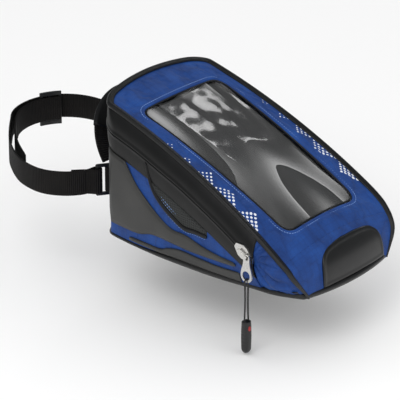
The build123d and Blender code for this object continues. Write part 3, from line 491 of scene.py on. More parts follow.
def make_film():
    """Clear, glossy, softly creased film, with painted highlight streaks in a grey haze."""
    s = Shader("clear_film")
    fold = s.noise(s.uv((30, 5.5, 10), rotate=-0.3), 1.0, 0.8, 0.35)
    crease_painted_light = s.noise(s.uv((19, 5, 10), rotate=-0.4), 1.0, 0.0, 0.4)
    crease_painted_light = s.math("POWER", s.math("SUBTRACT", 1.0, s.math("ABSOLUTE", s.math("MULTIPLY_ADD", crease_painted_light, 2.0, -1.0))), 30.0)
    n = s.bump(fold, 1.0, 0.0085)
    n = s.bump(crease_painted_light, 0.4, 0.0012, n)
    clear = s.node("ShaderNodeBsdfTransparent", {"Color": (0.9, 0.9, 0.9, 1)})
    gloss = s.node("ShaderNodeBsdfGlossy", {"Color": (1, 1, 1, 1), "Roughness": 0.11, "Normal": n})
    fres = s.node("ShaderNodeFresnel", {"IOR": 1.5, "Normal": n})
    haze = s.node("ShaderNodeBsdfDiffuse", {"Color": (0.6, 0.6, 0.6, 1), "Normal": n})
    # painted highlight streaks standing in for reflections on long soft folds: each brightens slowly and ends at a
    # sharp edge
    streak_highlight_lines = s.math("FRACT", s.math("MULTIPLY", s.noise(s.uv((21, 4.2, 10), rotate=-0.25), 1.0, 0.0), 5.2))
    highlight_patches = s.noise(s.uv((13, 9, 10)), 1.0, 0.0)
    highlight_patches = s.ramp(highlight_patches, [(0.42, (0, 0, 0)), (0.6, (1, 1, 1))])
    painted_highlight_streak = s.math("MULTIPLY", s.math("POWER", streak_highlight_lines, 4.0), highlight_patches)
    # the grey haze is a thin even film haze plus painted reflections: strong along the painted highlight streaks, faint
    # along the creases
    haze_and_highlight = s.math("MULTIPLY_ADD", painted_highlight_streak, 0.5, s.math("MULTIPLY_ADD", crease_painted_light, 0.03, 0.015))
    body = s.node("ShaderNodeMixShader", {0: haze_and_highlight, 1: clear.outputs[0], 2: haze.outputs[0]})
    both = s.node("ShaderNodeMixShader", {0: s.math("MULTIPLY_ADD", fres.outputs[0], 1.1, 0.03), 1: body.outputs[0], 2: gloss.outputs[0]})
    s.tree.links.new(both.outputs[0], s.out.inputs[0])
    s.tree.nodes.remove(s.bsdf)
    return s.mat


def make_metal(name, color=(0.78, 0.78, 0.8), rough=0.22):
    s = Shader(name)
    v = s.uv(source="Object")
    worn = s.noise(v, 900.0, 4.0, 0.65)
    n = s.bump(s.noise(v, 1600.0, 3.0), 0.25, 0.0001)
    s.set(Base_Color=s.ramp(worn, [(0.3, tuple(c * 0.72 for c in color)), (0.7, color)]), Metallic=1.0, Normal=n,
          Roughness=s.math("MULTIPLY_ADD", worn, 0.25, rough - 0.1))
    return s.mat


def make_plastic(name, color, light, rough=0.4, source="Object"):
    s = Shader(name)
    v = s.uv(source=source)
    cloud = s.noise(v, 120.0, 3.0)
    grain = s.noise(v, 2600.0, 2.0)
    n = s.bump(grain, 0.2, 0.00008)
    s.set(Base_Color=s.ramp(cloud, [(0.3, color), (0.75, light)]), Roughness=s.math("MULTIPLY_ADD", grain, 0.15, rough - 0.07),
          Normal=n, Coat_Weight=0.08, Coat_Roughness=0.3)
    return s.mat


def make_mesh_cloth():
    """Air mesh: dark holes on a staggered grid with a glint on the strands."""
    s = Shader("air_mesh")
    v = s.uv((1 / 0.0026, 1 / 0.0022, 1))
    vor = s.node("ShaderNodeTexVoronoi", {"Vector": v, "Scale": 1.0, "Randomness": 0.12}, feature="F1")
    hole = s.math("SUBTRACT", 1.0, s.math("SMOOTH_MIN", s.math("MULTIPLY", vor.outputs["Distance"], 1.9), 1.0, 0.2))
    base = s.ramp(hole, [(0.25, rgb(30, 33, 32)), (0.6, rgb(6, 7, 7))])
    n = s.bump(s.math("SUBTRACT", 1.0, hole), 0.9, 0.0006)
    s.set(Base_Color=base, Roughness=0.7, Normal=n, Sheen_Weight=0.04)
    return s.mat


def make_grey_overlay():
    s = Shader("grey_overlay")
    v = s.uv()
    cloud = s.noise(v, 30.0, 3.0)
    grain = s.noise(s.uv((1100, 1100, 1100)), 1.0, 3.0, 0.6)
    base = s.ramp(s.math("MULTIPLY_ADD", grain, 0.4, s.math("MULTIPLY", cloud, 0.6)), [(0.3, rgb(32, 32, 31)), (0.75, rgb(50, 50, 48))])
    n = s.bump(grain, 0.35, 0.00015)
    s.set(Base_Color=base, Roughness=0.5, Normal=n, Sheen_Weight=0.03)
    return s.mat


def make_rope(name, color, light, pitch=0.0011):
    s = Shader(name)
    v = s.uv((1 / pitch, 1 / pitch, 1), rotate=0.7)
    sep = s.node("ShaderNodeSeparateXYZ", {"Vector": v})
    a = s.math("SINE", s.math("MULTIPLY", sep.outputs[0], 2 * math.pi))
    b = s.math("SINE", s.math("MULTIPLY", sep.outputs[1], 2 * math.pi))
    h = s.math("MAXIMUM", a, b)
    # painted shade and highlight: the hollows between the strands darker, the raised strands lighter
    base = s.ramp(s.math("MULTIPLY_ADD", h, 0.5, 0.5), [(0.2, color), (0.9, light)])
    s.set(Base_Color=base, Roughness=0.6, Normal=s.bump(h, 0.6, 0.0002), Sheen_Weight=0.04)
    return s.mat


def make_foam():
    s = Shader("foam")
    v = s.uv(source="Object")
    cells = s.node("ShaderNodeTexVoronoi", {"Vector": v, "Scale": 1400.0}).outputs["Distance"]
    s.set(Base_Color=s.ramp(cells, [(0.1, rgb(26, 26, 28)), (0.7, rgb(60, 60, 63))]), Roughness=0.9, Normal=s.bump(cells, 0.5, 0.0003))
    return s.mat


def make_card():
    s = Shader("map_card")
    v = s.uv(source="Object")
    fib = s.noise(v, 700.0, 4.0)
    s.set(Base_Color=s.ramp(fib, [(0.3, rgb(60, 60, 60)), (0.7, rgb(78, 77, 75))]), Roughness=0.8, Normal=s.bump(fib, 0.2, 0.0001))
    return s.mat


def make_dots(mat):
    """Reflective halftone dots on the lid's borders: rows of dots that shrink away from each cluster's middle."""
    s = Shader.__new__(Shader)
    s.mat, s.tree = mat, mat.node_tree
    s.bsdf = [n for n in s.tree.nodes if n.type == "BSDF_PRINCIPLED"][0]
    c = s.node("ShaderNodeTexCoord")
    sep = s.node("ShaderNodeSeparateXYZ", {"Vector": c.outputs["Object"]})
    x, y = s.math("ABSOLUTE", sep.outputs[0]), sep.outputs[1]
    cell = 0.0052
    u = s.math("DIVIDE", s.math("ADD", x, y), cell)
    v = s.math("DIVIDE", s.math("SUBTRACT", x, y), cell)
    cu, cv = s.math("ADD", s.math("FLOOR", u), 0.5), s.math("ADD", s.math("FLOOR", v), 0.5)
    du, dv = s.math("SUBTRACT", u, cu), s.math("SUBTRACT", v, cv)
    dist = s.math("SQRT", s.math("ADD", s.math("MULTIPLY", du, du), s.math("MULTIPLY", dv, dv)))
    # the middle of each dot's cell, so that a dot is whole or not there
    mx = s.math("MULTIPLY", s.math("ADD", cu, cv), cell / 2)
    my = s.math("MULTIPLY", s.math("SUBTRACT", cu, cv), cell / 2)
    inward = s.math("SUBTRACT", s.math("MULTIPLY_ADD", my, -SEAM_TAPER, 0.0702), mx)
    size = 0.0
    # each group of dots is a triangle with its long side along the piping: (place along the border, reach, dot size)
    for cy, reach, big in ((-0.0600, 0.0150, 0.36), (-0.0325, 0.0130, 0.32), (-0.0070, 0.0105, 0.27), (0.0160, 0.0085, 0.21), (0.0370, 0.007, 0.15)):
        off = s.math("ABSOLUTE", s.math("SUBTRACT", my, cy))
        room = s.math("SUBTRACT", reach, s.math("ADD", off, s.math("MAXIMUM", inward, 0.0)))
        inside = s.math("GREATER_THAN", room, 0.0)
        grow = s.math("MULTIPLY_ADD", s.math("DIVIDE", s.math("SUBTRACT", cy, my), reach), 0.18, 0.92)
        size = s.math("MAXIMUM", size, s.math("MULTIPLY", s.math("MULTIPLY", inside, grow), big))
    size = s.math("MULTIPLY", size, s.math("GREATER_THAN", inward, -0.0045))
    mask = s.math("LESS_THAN", dist, size)
    old = s.bsdf.inputs["Base Color"].links[0].from_socket
    s.put(s.bsdf.inputs["Base Color"], s.mix(mask, old, (*rgb(214, 218, 226), 1)))
    rough = s.bsdf.inputs["Roughness"].links[0].from_socket
    s.put(s.bsdf.inputs["Roughness"], s.math("MULTIPLY_ADD", mask, -0.15, rough))
    s.put(s.bsdf.inputs["Sheen Weight"], s.math("MULTIPLY_ADD", mask, -0.08, 0.08))
    return mat


BLUE = make_blue()
LID_BLUE = make_dots(make_blue())
BAND = make_coated("band_coated", rgb(9, 9, 9), rgb(16, 16, 16), 0.46)
PIPING = make_cloth("piping_binding", rgb(6, 6, 6), rgb(14, 14, 14), 0.0006, 0.4, 0.0, 0.35)
WEB = make_webbing()
LINING = make_cloth("lining", rgb(24, 24, 26), rgb(38, 38, 41), 0.0007, 0.8, 0.05)
POCKET = make_cloth("pocket_backing", rgb(38, 36, 34), rgb(50, 48, 45), 0.0009, 0.85, 0.0, 0.15)
FILM = make_film()
METAL = make_metal("nickel_cast", (0.7, 0.69, 0.67), 0.3)
GREY = make_grey_overlay()
MESH = make_mesh_cloth()
TRIM = make_coated("trim_dark", rgb(9, 9, 10), rgb(17, 17, 18), 0.5)
RUBBER = make_plastic("patch_rubber", rgb(7, 7, 7), rgb(14, 14, 14), 0.4, "UV")
BUCKLE = make_plastic("acetal_black", rgb(7, 7, 7), rgb(15, 15, 15), 0.34)
COIL = make_plastic("coil_nylon", rgb(16, 16, 16), rgb(34, 34, 34), 0.45)
CORD = make_rope("cord_black", rgb(6, 6, 6), rgb(22, 22, 22))
GRIP = make_plastic("grip_black", rgb(10, 10, 10), rgb(20, 20, 20), 0.4)
RED = make_plastic("grip_dot_red", rgb(150, 22, 24), rgb(178, 34, 34), 0.4)
FOAM = make_foam()
CARD = make_card()
THREAD_BLUE = make_rope("thread_blue", rgb(92, 132, 200), rgb(150, 182, 232), 0.0006)
THREAD_DARK = make_rope("thread_dark", rgb(26, 26, 28), rgb(66, 66, 70), 0.0006)
BASE_RUBBER = make_plastic("base_grip", rgb(14, 14, 14), rgb(26, 26, 26), 0.7)


def finish(o, mat, body, replaces=()):
    """Material, body and replaced CAD nodes of one piece."""
    o.data.materials.clear()
    o.data.materials.append(mat)
    if body:
        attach(o, body)
    if replaces:
        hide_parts(*replaces)
    return o


# ---- surfaces of the bag --------------------------------------------------------------------------------------------------
def side_x(y, z):
    """Half width of the bag's side at a height."""
    b, s, w = base_half(y), seam_z(y), seam_half(y)
    mid = s - np.minimum(ZIP_DROP, 0.4 * s)
    out = w + BULGE * np.minimum(1.0, s / 50)
    low = b + (out - b) * (1 - (1 - np.clip(z / mid, 0, 1)) ** 1.9)
    high = out + (w - out) * np.clip((z - mid) / np.maximum(s - mid, 1e-6), 0, 1) ** 2
    return np.where(z < mid, low, high)


def plan_line(half, y_start, out=0.0, count=240, soft=5):
    """From y_start on the left, round the tall end, to y_start on the right; half(y) is the side's half width."""
    reach = CORNER[2] + out
    pts = []
    for y in np.linspace(y_start, CORNER[1] + reach * math.sin(math.radians(78.6)), 330):
        x = float(half(y)) + out
        if y > CORNER[1]:
            x = min(x, CORNER[0] + math.sqrt(max(reach**2 - (y - CORNER[1]) ** 2, 0)))
        pts.append((x, y))
    for x in np.linspace(pts[-1][0] - 1, 0, 34):
        pts.append((x, TALL_Y + out - x * x / 505.0))
    right = np.array(pts)
    left = right[::-1][1:] * np.array([-1, 1])
    return resample(soften(resample(np.concatenate([right, left])[::-1], 700), soft), count)


def skin_ring(level, y_start, out=0.0, count=240, soft=5):
    """Points round the bag at a height given by level(y)."""
    line = plan_line(lambda y: side_x(y, level(y)), y_start, out, count, soft)
    return np.column_stack([line, level(line[:, 1])])


def outward(ring):
    """Horizontal outward direction at each point of a ring that runs left, tall end, right."""
    t = np.gradient(ring[:, :2], axis=0)
    n = np.stack([-t[:, 1], t[:, 0]], 1)
    n /= np.linalg.norm(n, axis=1, keepdims=True)
    return np.column_stack([n, np.zeros(len(n))])


def stack(rings):
    """Rings to a grid of points (round, up) and its uv in millimetres."""
    p = np.stack(rings, 1)
    u = run_length(p[:, 0])
    v = np.cumsum(np.concatenate([np.zeros((p.shape[0], 1)), np.linalg.norm(np.diff(p, axis=1), axis=2)], 1), 1)
    return p, np.stack(np.broadcast_arrays(u[:, None], v), -1)


def ripple(p, size, amount, seed=0):
    """Smooth random height over points, from a few sine waves."""
    r = np.random.default_rng(seed)
    h = np.zeros(p.shape[:-1])
    for _ in range(10):
        d = r.normal(size=3)
        d /= np.linalg.norm(d)
        h += np.sin(p @ d * 2 * math.pi / (size * r.uniform(0.6, 1.6)) + r.uniform(0, 6.28))
    return amount * h / 3.2


def seam_level(drop):
    return lambda y: seam_z(y) - drop


# nose: centre line and side line, from the fold down to the base
NOSE_CENTRE = [(0, -98, 0), (0, -104, 0), (0, -110, 41.5), (0, -114.5, 34.5), (0, -118.6, 26), (0, -120.8, 17), (0, -121.8, 9), (0, -122, 1.5)]
NOSE_SIDE = [(0, -98, 0), (0, -104, 0), (0, -108.5, 0), (72.3, -112, 25), (68.5, -114.6, 18.5), (63.5, -116.4, 11.5), (59, -117.6, 5.5), (56.5, -118, 1.5)]


def nose_lines(count):
    centre = [(0, y, z if z else float(lid_height(0, y))) for _, y, z in NOSE_CENTRE]
    side = [(x if x else float(seam_half(y)), y, z if z else float(seam_z(y))) for x, y, z in NOSE_SIDE]
    return curve(centre, count), curve(side, count)


def nose_point(centre, side, t):
    """Across the nose: t from -1 on the left to 1 on the right."""
    k = 1 - np.abs(t) ** 2.1
    return np.array([side[0] * t, side[1] + (centre[1] - side[1]) * k, side[2] + (centre[2] - side[2]) * k])


# ---- cloth ---------------------------------------------------------------------------------------------------------------
def settle(o, free, cap, frames=16, slack=0.03, pressure=0.6):
    """Lets a sheet of cloth relax with a little slack, held where free is 0; no point moves further than cap (mm)."""
    me = o.data
    rest = np.zeros(len(me.vertices) * 3)
    me.vertices.foreach_get("co", rest)
    rest = rest.reshape(-1, 3)
    group = o.vertex_groups.new(name="held")
    hold = 1 - np.asarray(free, float).ravel()
    for level in np.unique(np.round(hold, 2)):
        members = np.nonzero(np.round(hold, 2) == level)[0].tolist()
        if level > 0:
            group.add(members, float(level), "REPLACE")
    m = o.modifiers.new("settle", "CLOTH")
    st = m.settings
    st.quality = 6
    st.mass = 0.15
    st.tension_stiffness = st.compression_stiffness = 12
    st.shear_stiffness = 4
    st.bending_stiffness = 0.02
    st.vertex_group_mass = "held"
    st.pin_stiffness = 4
    st.shrink_min = -slack
    st.use_pressure = True
    st.uniform_pressure_force = pressure
    st.effector_weights.gravity = 0
    m.collision_settings.use_collision = False
    m.collision_settings.use_self_collision = False
    m.point_cache.frame_start, m.point_cache.frame_end = 1, frames
    scene = bpy.context.scene
    for f in range(1, frames + 1):
        scene.frame_set(f)
    done = o.evaluated_get(bpy.context.evaluated_depsgraph_get()).data
    now = np.zeros(len(me.vertices) * 3)
    done.vertices.foreach_get("co", now)
    step = now.reshape(-1, 3) - rest
    length = np.linalg.norm(step, axis=1, keepdims=True)
    limit = cap / 1000
    step *= np.where(length > 1e-9, limit * np.tanh(length / limit) / np.maximum(length, 1e-9), 1)
    step *= np.asarray(free, float).ravel()[:, None] ** 0.5
    o.modifiers.clear()
    scene.frame_set(1)
    o.vertex_groups.clear()
    me.vertices.foreach_set("co", (rest + step).ravel())
    me.update()
    print("SETTLE", o.name, "moved up to %.2f mm" % (np.linalg.norm(step, axis=1).max() * 1000))


# ---- lid ------------------------------------------------------------------------------------------------------------------
WINDOW = ((84.0, 54.0), (-87.0, 50.0), 13.0)
LID_MID = np.array([0.0, -4.0])
FOLD_Y = -104.0


def window_line(grow, count=360):
    """The window's outline, anticlockwise, corners rounded."""
    (ty, tx), (ny, nx), r = WINDOW
    c = [(tx + grow, ty + grow), (-tx - grow, ty + grow), (-nx - grow, ny - grow), (nx + grow, ny - grow)]
    r = max(r + grow, 1.0)
    out = []
    for i in range(4):
        p, a, b = np.array(c[i]), np.array(c[i - 1]), np.array(c[(i + 1) % 4])
        da, db = (a - p) / np.linalg.norm(a - p), (b - p) / np.linalg.norm(b - p)
        for t in np.linspace(0, 1, 14):
            q = (1 - t) ** 2 * (p + da * r) + 2 * t * (1 - t) * p + t * t * (p + db * r)
            out.append(q)
    out.append(out[0])
    return resample(np.array(out), count + 1)[:-1]


def by_angle(line, angles):
    """Where rays from LID_MID at these angles meet a closed star-shaped line."""
    rel = line - LID_MID
    a = np.arctan2(rel[:, 1], rel[:, 0]) % (2 * math.pi)
    order = np.argsort(a)
    a, r = a[order], np.linalg.norm(rel, axis=1)[order]
    rr = np.interp(angles, a, r, period=2 * math.pi)
    return LID_MID + rr[:, None] * np.stack([np.cos(angles), np.sin(angles)], 1)


def lid_outline(inset=0.0):
    line = plan_line(lambda y: seam_half(y), FOLD_Y, -inset, 500, 4)
    front = np.linspace(line[-1], line[0], 60)[1:-1]
    return np.vstack([line, front])


def edge_distance(points, line):
    """How far each point is from a line of points, in plan."""
    out = np.full(len(points), 1e9)
    for k in range(0, len(line), 2):
        out = np.minimum(out, (points[:, 0] - line[k, 0]) ** 2 + (points[:, 1] - line[k, 1]) ** 2)
    return np.sqrt(out)


def build_lid():
    angles = np.linspace(0, 2 * math.pi, 420, endpoint=False)
    outer = by_angle(lid_outline(), angles)
    inner = by_angle(window_line(0.6), angles)
    rows = [(-0.25, -1.9), (0.0, -0.75), (0.5, -0.2), (1.2, 0.1)]
    grid, shares = [], np.concatenate([np.zeros(4), np.linspace(0.02, 1, 22)])
    d = outer - inner
    dist = np.linalg.norm(d, axis=1, keepdims=True)
    for k, share in enumerate(shares):
        if k < 4:
            xy = inner + d / dist * rows[k][0]
            drop = rows[k][1]
        else:
            lift = 1.2 + (dist - 1.2) * share
            xy = inner + d / dist * lift
            drop = 0.15
        z = lid_height(xy[:, 0], xy[:, 1]) + drop
        grid.append(np.column_stack([xy, z]))
    p = np.stack(grid, 1)
    share = np.linspace(0, 1, p.shape[1])[None, :]
    puff = np.sin(np.clip(share, 0, 1) * math.pi) ** 0.8
    p[..., 2] += puff * (0.55 + ripple(p, 62, 0.45, 3) + ripple(p, 24, 0.22, 4)) * (p[..., 1] > FOLD_Y + 2)
    stitch = np.exp(-((np.linalg.norm(p[..., :2] - inner[:, None, :], axis=2) - 3.2) / 0.8) ** 2)
    p[..., 2] -= 0.35 * stitch
    uv = p[..., :2].copy()
    ring = new_mesh("lid_ring", p.reshape(-1, 3), grid_faces(p.shape[0], p.shape[1], True), uv.reshape(-1, 2))
    # the nose, from the fold down to the base
    centre, side = nose_lines(60)
    start = int(np.argmin(np.abs(side[:, 1] - FOLD_Y)))
    ts = np.linspace(-1, 1, 61)
    q = np.array([[nose_point(centre[k], side[k], t) for t in ts] for k in range(start, 60)])
    first = np.column_stack([ts * seam_half(FOLD_Y), np.full(61, FOLD_Y), lid_height(ts * seam_half(FOLD_Y), FOLD_Y) + 0.15])
    q[0] = first
    q = q.transpose(1, 0, 2)[::-1]
    run = np.cumsum(np.concatenate([[0], np.linalg.norm(np.diff(q[30], axis=0), axis=1)]))
    uvq = np.stack(np.broadcast_arrays(q[:, :, 0], FOLD_Y - run[None, :]), -1)
    n = grid_normals(q)
    if n[30, 10, 1] > 0:
        n = -n
    fade = smooth(0, 6, np.arange(q.shape[1]))[None, :, None]
    q = q + n * fade * (ripple(q, 40, 0.35, 8)[..., None])
    nose = new_mesh("lid_nose", q.reshape(-1, 3), grid_faces(q.shape[0], q.shape[1]), uvq.reshape(-1, 2))
    o = join("lid_cloth", [ring, nose])
    bm = bmesh.new()
    bm.from_mesh(o.data)
    bmesh.ops.remove_doubles(bm, verts=bm.verts, dist=0.0004)
    bmesh.ops.recalc_face_normals(bm, faces=bm.faces)
    up = sum(f.normal.z * f.calc_area() for f in bm.faces)
    if up < 0:
        bmesh.ops.reverse_faces(bm, faces=bm.faces)
    bm.to_mesh(o.data)
    bm.free()
    co = np.array([v.co for v in o.data.vertices]) * 1000
    rim = np.minimum(edge_distance(co, on_lid(window_line(0))), edge_distance(co, on_lid(lid_outline())))
    settle(o, smooth(3.5, 9.0, rim) * smooth(FOLD_Y - 2, FOLD_Y + 8, co[:, 1]), 1.1, pressure=0.4)
    thicken(o, 1.2)
    finish(o, LID_BLUE, None, ("lid_panel", "nose_panel"))
    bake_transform(o)
    return o


def on_lid(line, lift=0.0):
    """Plan points laid on the lid's skin."""
    return np.column_stack([line, lid_height(line[:, 0], line[:, 1]) + lift])


def panel(name, line, drop, mat, body, replaces, rows=18, thick=0.6, wrinkle=0.0, seed=1, uv_scale=1.0):
    """A smooth sheet filling a closed plan outline, at a depth below the lid's skin."""
    grid = []
    for share in np.linspace(1, 0.0, rows):
        xy = LID_MID + (line - LID_MID) * share
        grid.append(np.column_stack([xy, lid_height(xy[:, 0], xy[:, 1]) - drop]))
    p = np.stack(grid, 1)
    if wrinkle:
        edge = np.clip(1 - np.linspace(1, 0, rows), 0, 0.2)[None, :] / 0.2
        p[..., 2] += edge * (ripple(p * np.array([1, 0.45, 1]), 48, wrinkle, seed) + ripple(p, 19, wrinkle * 0.3, seed + 1))
    o = sheet(name, p, p[..., :2] * uv_scale, thick, wrap=True, flip=False)
    bm = bmesh.new()
    bm.from_mesh(o.data)
    bmesh.ops.remove_doubles(bm, verts=bm.verts, dist=1e-6)
    bmesh.ops.recalc_face_normals(bm, faces=bm.faces)
    bm.to_mesh(o.data)
    bm.free()
    return finish(o, mat, body, replaces)


def build_window():
    panel("window_film_vis", window_line(4), 1.9, FILM, "lid", ("window_film",), 44, 0.0, 0.5, 21)
    panel("pocket_back_vis", window_line(5.5), 5.4, POCKET, "lid", ("pocket_back", "pocket_frame"), 26, 1.0, 0.5, 31)
    # black binding rolled over the window's edge
    line = window_line(-0.6)
    path = on_lid(line, -0.55)
    prof = ring_profile(0.75, 10) * np.array([1.25, 0.9])
    o = sweep("window_binding_vis", path, prof, closed=True)
    finish(o, PIPING, "lid", ("window_binding",))
    line = window_line(4.0, 720)
    path = on_lid(line, 0.12)
    path = np.vstack([path, path[:1]])
    o = stitches("window_stitching", path, (0, -0.3, 1), pitch=2.6, length=1.9, radius=0.24)
    finish(o, THREAD_BLUE, "lid")


# ---- side walls ---------------------------------------------------------------------------------------------------------------
def build_walls():
    top = lambda y: seam_z(y) - BAND_DROP + 0.8
    rings = []
    for f in np.linspace(0, 1, 22):
        rings.append(skin_ring(lambda y, f=f: 0.6 + (top(y) - 0.6) * f, ZIP_END_Y, -0.25))
    p, uv = stack(rings)
    n = outward(p[:, 10])[:, None, :]
    f = np.linspace(0, 1, 22)[None, :, None]
    behind = smooth(34, 44, np.abs(p[..., 0])) * smooth(100, 110, p[..., 1])  # flat behind the swinging buckles
    swell = (0.4 + ripple(p, 70, 0.35, 11) + ripple(p, 30, 0.15, 12)) * (1 - behind) - 0.9 * behind
    p = p + n * swell[..., None] * np.sin(f * math.pi)
    o = sheet("wall_cloth", p, uv, 0)
    nu, nv = p.shape[:2]
    v = np.linspace(0, 1, nv)[None, :]
    settle(o, smooth(0, 0.12, v) * smooth(0, 0.12, 1 - v) * smooth(106, 116, p[..., 1]) * (1 - behind), 1.2)
    thicken(o, 1.2)
    finish(o, BLUE, "bag", ("side_panel_left", "side_panel_right", "tall_panel"))
    # lining, drawn in from the wall
    rings = [skin_ring(lambda y, f=f: 9 + (top(y) - 9.5) * f, ZIP_END_Y, -3.6) for f in np.linspace(0, 1, 12)]
    p, uv = stack(rings)
    p = p + outward(p[:, 5])[:, None, :] * ripple(p, 45, 0.5, 15)[..., None]
    o = sheet("lining_wall", p, uv, 0.6)
    finish(o, LINING, "bag", ("wall_lining", "wall_foam"))


def band_strip(name, low, high, lips, body, replaces, mat=None):
    """One half of the coated zip band between two drops below the lid seam; lips is the drop of its free edge."""
    rings = []
    for d in np.linspace(low, high, 16):
        lift = 0.35 + 1.3 * math.exp(-((d - lips) / 1.7) ** 2) + 0.5 * math.sin(math.pi * (d - low) / (high - low))
        ring = skin_ring(seam_level(d), ZIP_END_Y, 0.0)
        far = smooth(95, 121, ring[:, 1])
        ring = ring + outward(ring) * (lift + 1.6 * far * math.sin(math.pi * d / BAND_DROP))[:, None]
        rings.append(ring)
    p, uv = stack(rings)
    p = p + outward(p[:, 8])[:, None, :] * ripple(p, 80, 0.28, 17)[..., None]
    o = sheet(name, p, uv, 1.1)
    return finish(o, mat or BAND, body, replaces)


def build_band():
    band_strip("band_lower", BAND_DROP + 0.4, ZIP_DROP + 0.25, ZIP_DROP + 0.6, "bag", ("zip_tape_lower",))
    band_strip("band_upper", ZIP_DROP - 0.25, 0.2, ZIP_DROP - 0.6, "lid", ("zip_tape_upper",))
    for name, drop, body in (("band_stitch_lower", BAND_DROP - 1.6, "bag"), ("band_stitch_upper", 4.4, "lid")):
        ring = skin_ring(seam_level(drop), ZIP_END_Y + 1, 0.75, 900)
        far = smooth(95, 121, ring[:, 1])
        ring = ring + outward(ring) * (1.6 * far * math.sin(math.pi * drop / BAND_DROP))[:, None]
        o = stitches(name, ring, outward(ring), pitch=3.0, length=2.1, radius=0.22)
        finish(o, THREAD_DARK, body)


# ---- nose sides with the pleated gussets ------------------------------------------------------------------------------------------
def front_lines(count):
    """Top and bottom edges of one side of the nose, from the zip's end forward to the nose corner (right side)."""
    _, side = nose_lines(60)
    back = [(float(seam_half(y)), y, float(seam_z(y))) for y in np.linspace(ZIP_END_Y + 1, -98, 16)]
    top = resample(np.vstack([back, side[1:]]), count)
    low = [(float(base_half(y)), y, 0.4) for y in np.linspace(ZIP_END_Y + 1, -114, 24)] + [(55.0, -117.2, 0.4)]
    return top, resample(np.array(low), count)


def build_front(sign, name, replaces):
    count, rows = 70, 40
    top, low = front_lines(count)
    f = np.linspace(0, 1, rows)
    p = low[:, None, :] * (1 - f)[None, :, None] + top[:, None, :] * f[None, :, None]
    keep = smooth(-118, -100, p[..., 1])
    flat = p[..., 0]
    p[..., 0] = flat + keep * np.clip(side_x(p[..., 1], p[..., 2]) - flat, -1, 9)
    # pleats fan out forward from the end of the zip
    dy, dz = p[..., 1] - (-71.0), p[..., 2] - 37.0
    angle, far = np.degrees(np.arctan2(dz, -dy)), np.hypot(dy, dz)
    fold = np.abs(((angle + 8) / 23.0) % 1.0 - 0.5) * 2
    pleat = (1 - fold**1.6) * 3.0 - 1.2
    fade = smooth(5, 17, far) * smooth(0.0, 0.14, f)[None, :] * (1 - smooth(0.9, 1.0, f))[None, :] * smooth(-118, -108, p[..., 1])
    p[..., 0] += pleat * fade * (1 - 0.5 * smooth(28, 46, far)) + ripple(p, 26, 0.35, 19) * fade
    p[..., 0] *= sign
    uv = p[..., 1:].copy()
    o = new_mesh(name, p.reshape(-1, 3), grid_faces(count, rows), uv.reshape(-1, 2))
    bm = bmesh.new()
    bm.from_mesh(o.data)
    bmesh.ops.recalc_face_normals(bm, faces=bm.faces)
    if sum(q.normal.x * q.calc_area() for q in bm.faces) * sign < 0:
        bmesh.ops.reverse_faces(bm, faces=bm.faces)
    bm.to_mesh(o.data)
    bm.free()
    u = np.linspace(0, 1, count)[:, None]
    settle(o, smooth(0, 0.1, u) * smooth(0, 0.2, 1 - u) * smooth(0, 0.15, f)[None, :] * smooth(0, 0.12, 1 - f)[None, :], 1.0, slack=0.05)
    thicken(o, 1.2)
    finish(o, BLUE, None, replaces)
    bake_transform(o)
    return o


# ---- piping --------------------------------------------------------------------------------------------------------------------------
def piping_profile(r, lap, lap_r):
    """A round piping with a flat bound edge lying on its inner side."""
    pts = []
    for a in np.linspace(math.radians(60), math.radians(300), 14):
        pts.append((r * math.cos(a), r * math.sin(a)))
    for a in np.linspace(math.radians(-90), math.radians(90), 8):
        pts.append((lap + lap_r * math.cos(a), 0.4 + lap_r * math.sin(a)))
    return np.array(pts)


def build_piping():
    _, side = nose_lines(60)
    seam = skin_ring(lambda y: seam_z(y), -98.0, 0.9, 420)
    end_lift = crown(seam[:, 1]) * (1 - np.clip(np.abs(seam[:, 0]) / seam_half(seam[:, 1]), 0, 1) ** 2)
    seam[:, 2] += end_lift * smooth(96, 112, seam[:, 1]) + 0.3
    left = side[::-1][:-1].copy()
    left[:, 0] = -(left[:, 0] + 0.9 * np.linspace(0.2, 1, len(left)))
    right = left[::-1] * np.array([-1, 1, 1])
    path = resample(soften(resample(np.vstack([left, seam, right]), 900), 8), 520)
    ends = run_length(path)
    ends = np.minimum(ends, ends[-1] - ends)
    o = sweep("lid_piping_vis", path, piping_profile(2.5, 3.0, 1.25), scale=0.5 + 0.5 * smooth(2, 34, ends))
    finish(o, PIPING, None, ("lid_piping", "nose_piping_left", "nose_piping_right"))
    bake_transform(o)
    base = plan_line(lambda y: base_half(y) + 4.4 * smooth(-60, -95, y), -114, 1.2, 260)
    front = [(x, NOSE_Y + x * x / 462.0 - 0.6) for x in np.linspace(54, -54, 40)]
    ring = resample(soften(np.vstack([base, front, base[:1]]), 3), 360)[:-1]
    slim = 1 - 0.42 * smooth(10, 75, ring[:, 1])
    path = np.column_stack([ring - outward(ring)[:, :2] * (1.4 * (1 - slim))[:, None], 3.1 * slim])
    o = sweep("base_piping_vis", path, ring_profile(3.0, 14), closed=True, scale=slim)
    finish(o, PIPING, "bag", ("base_piping",))


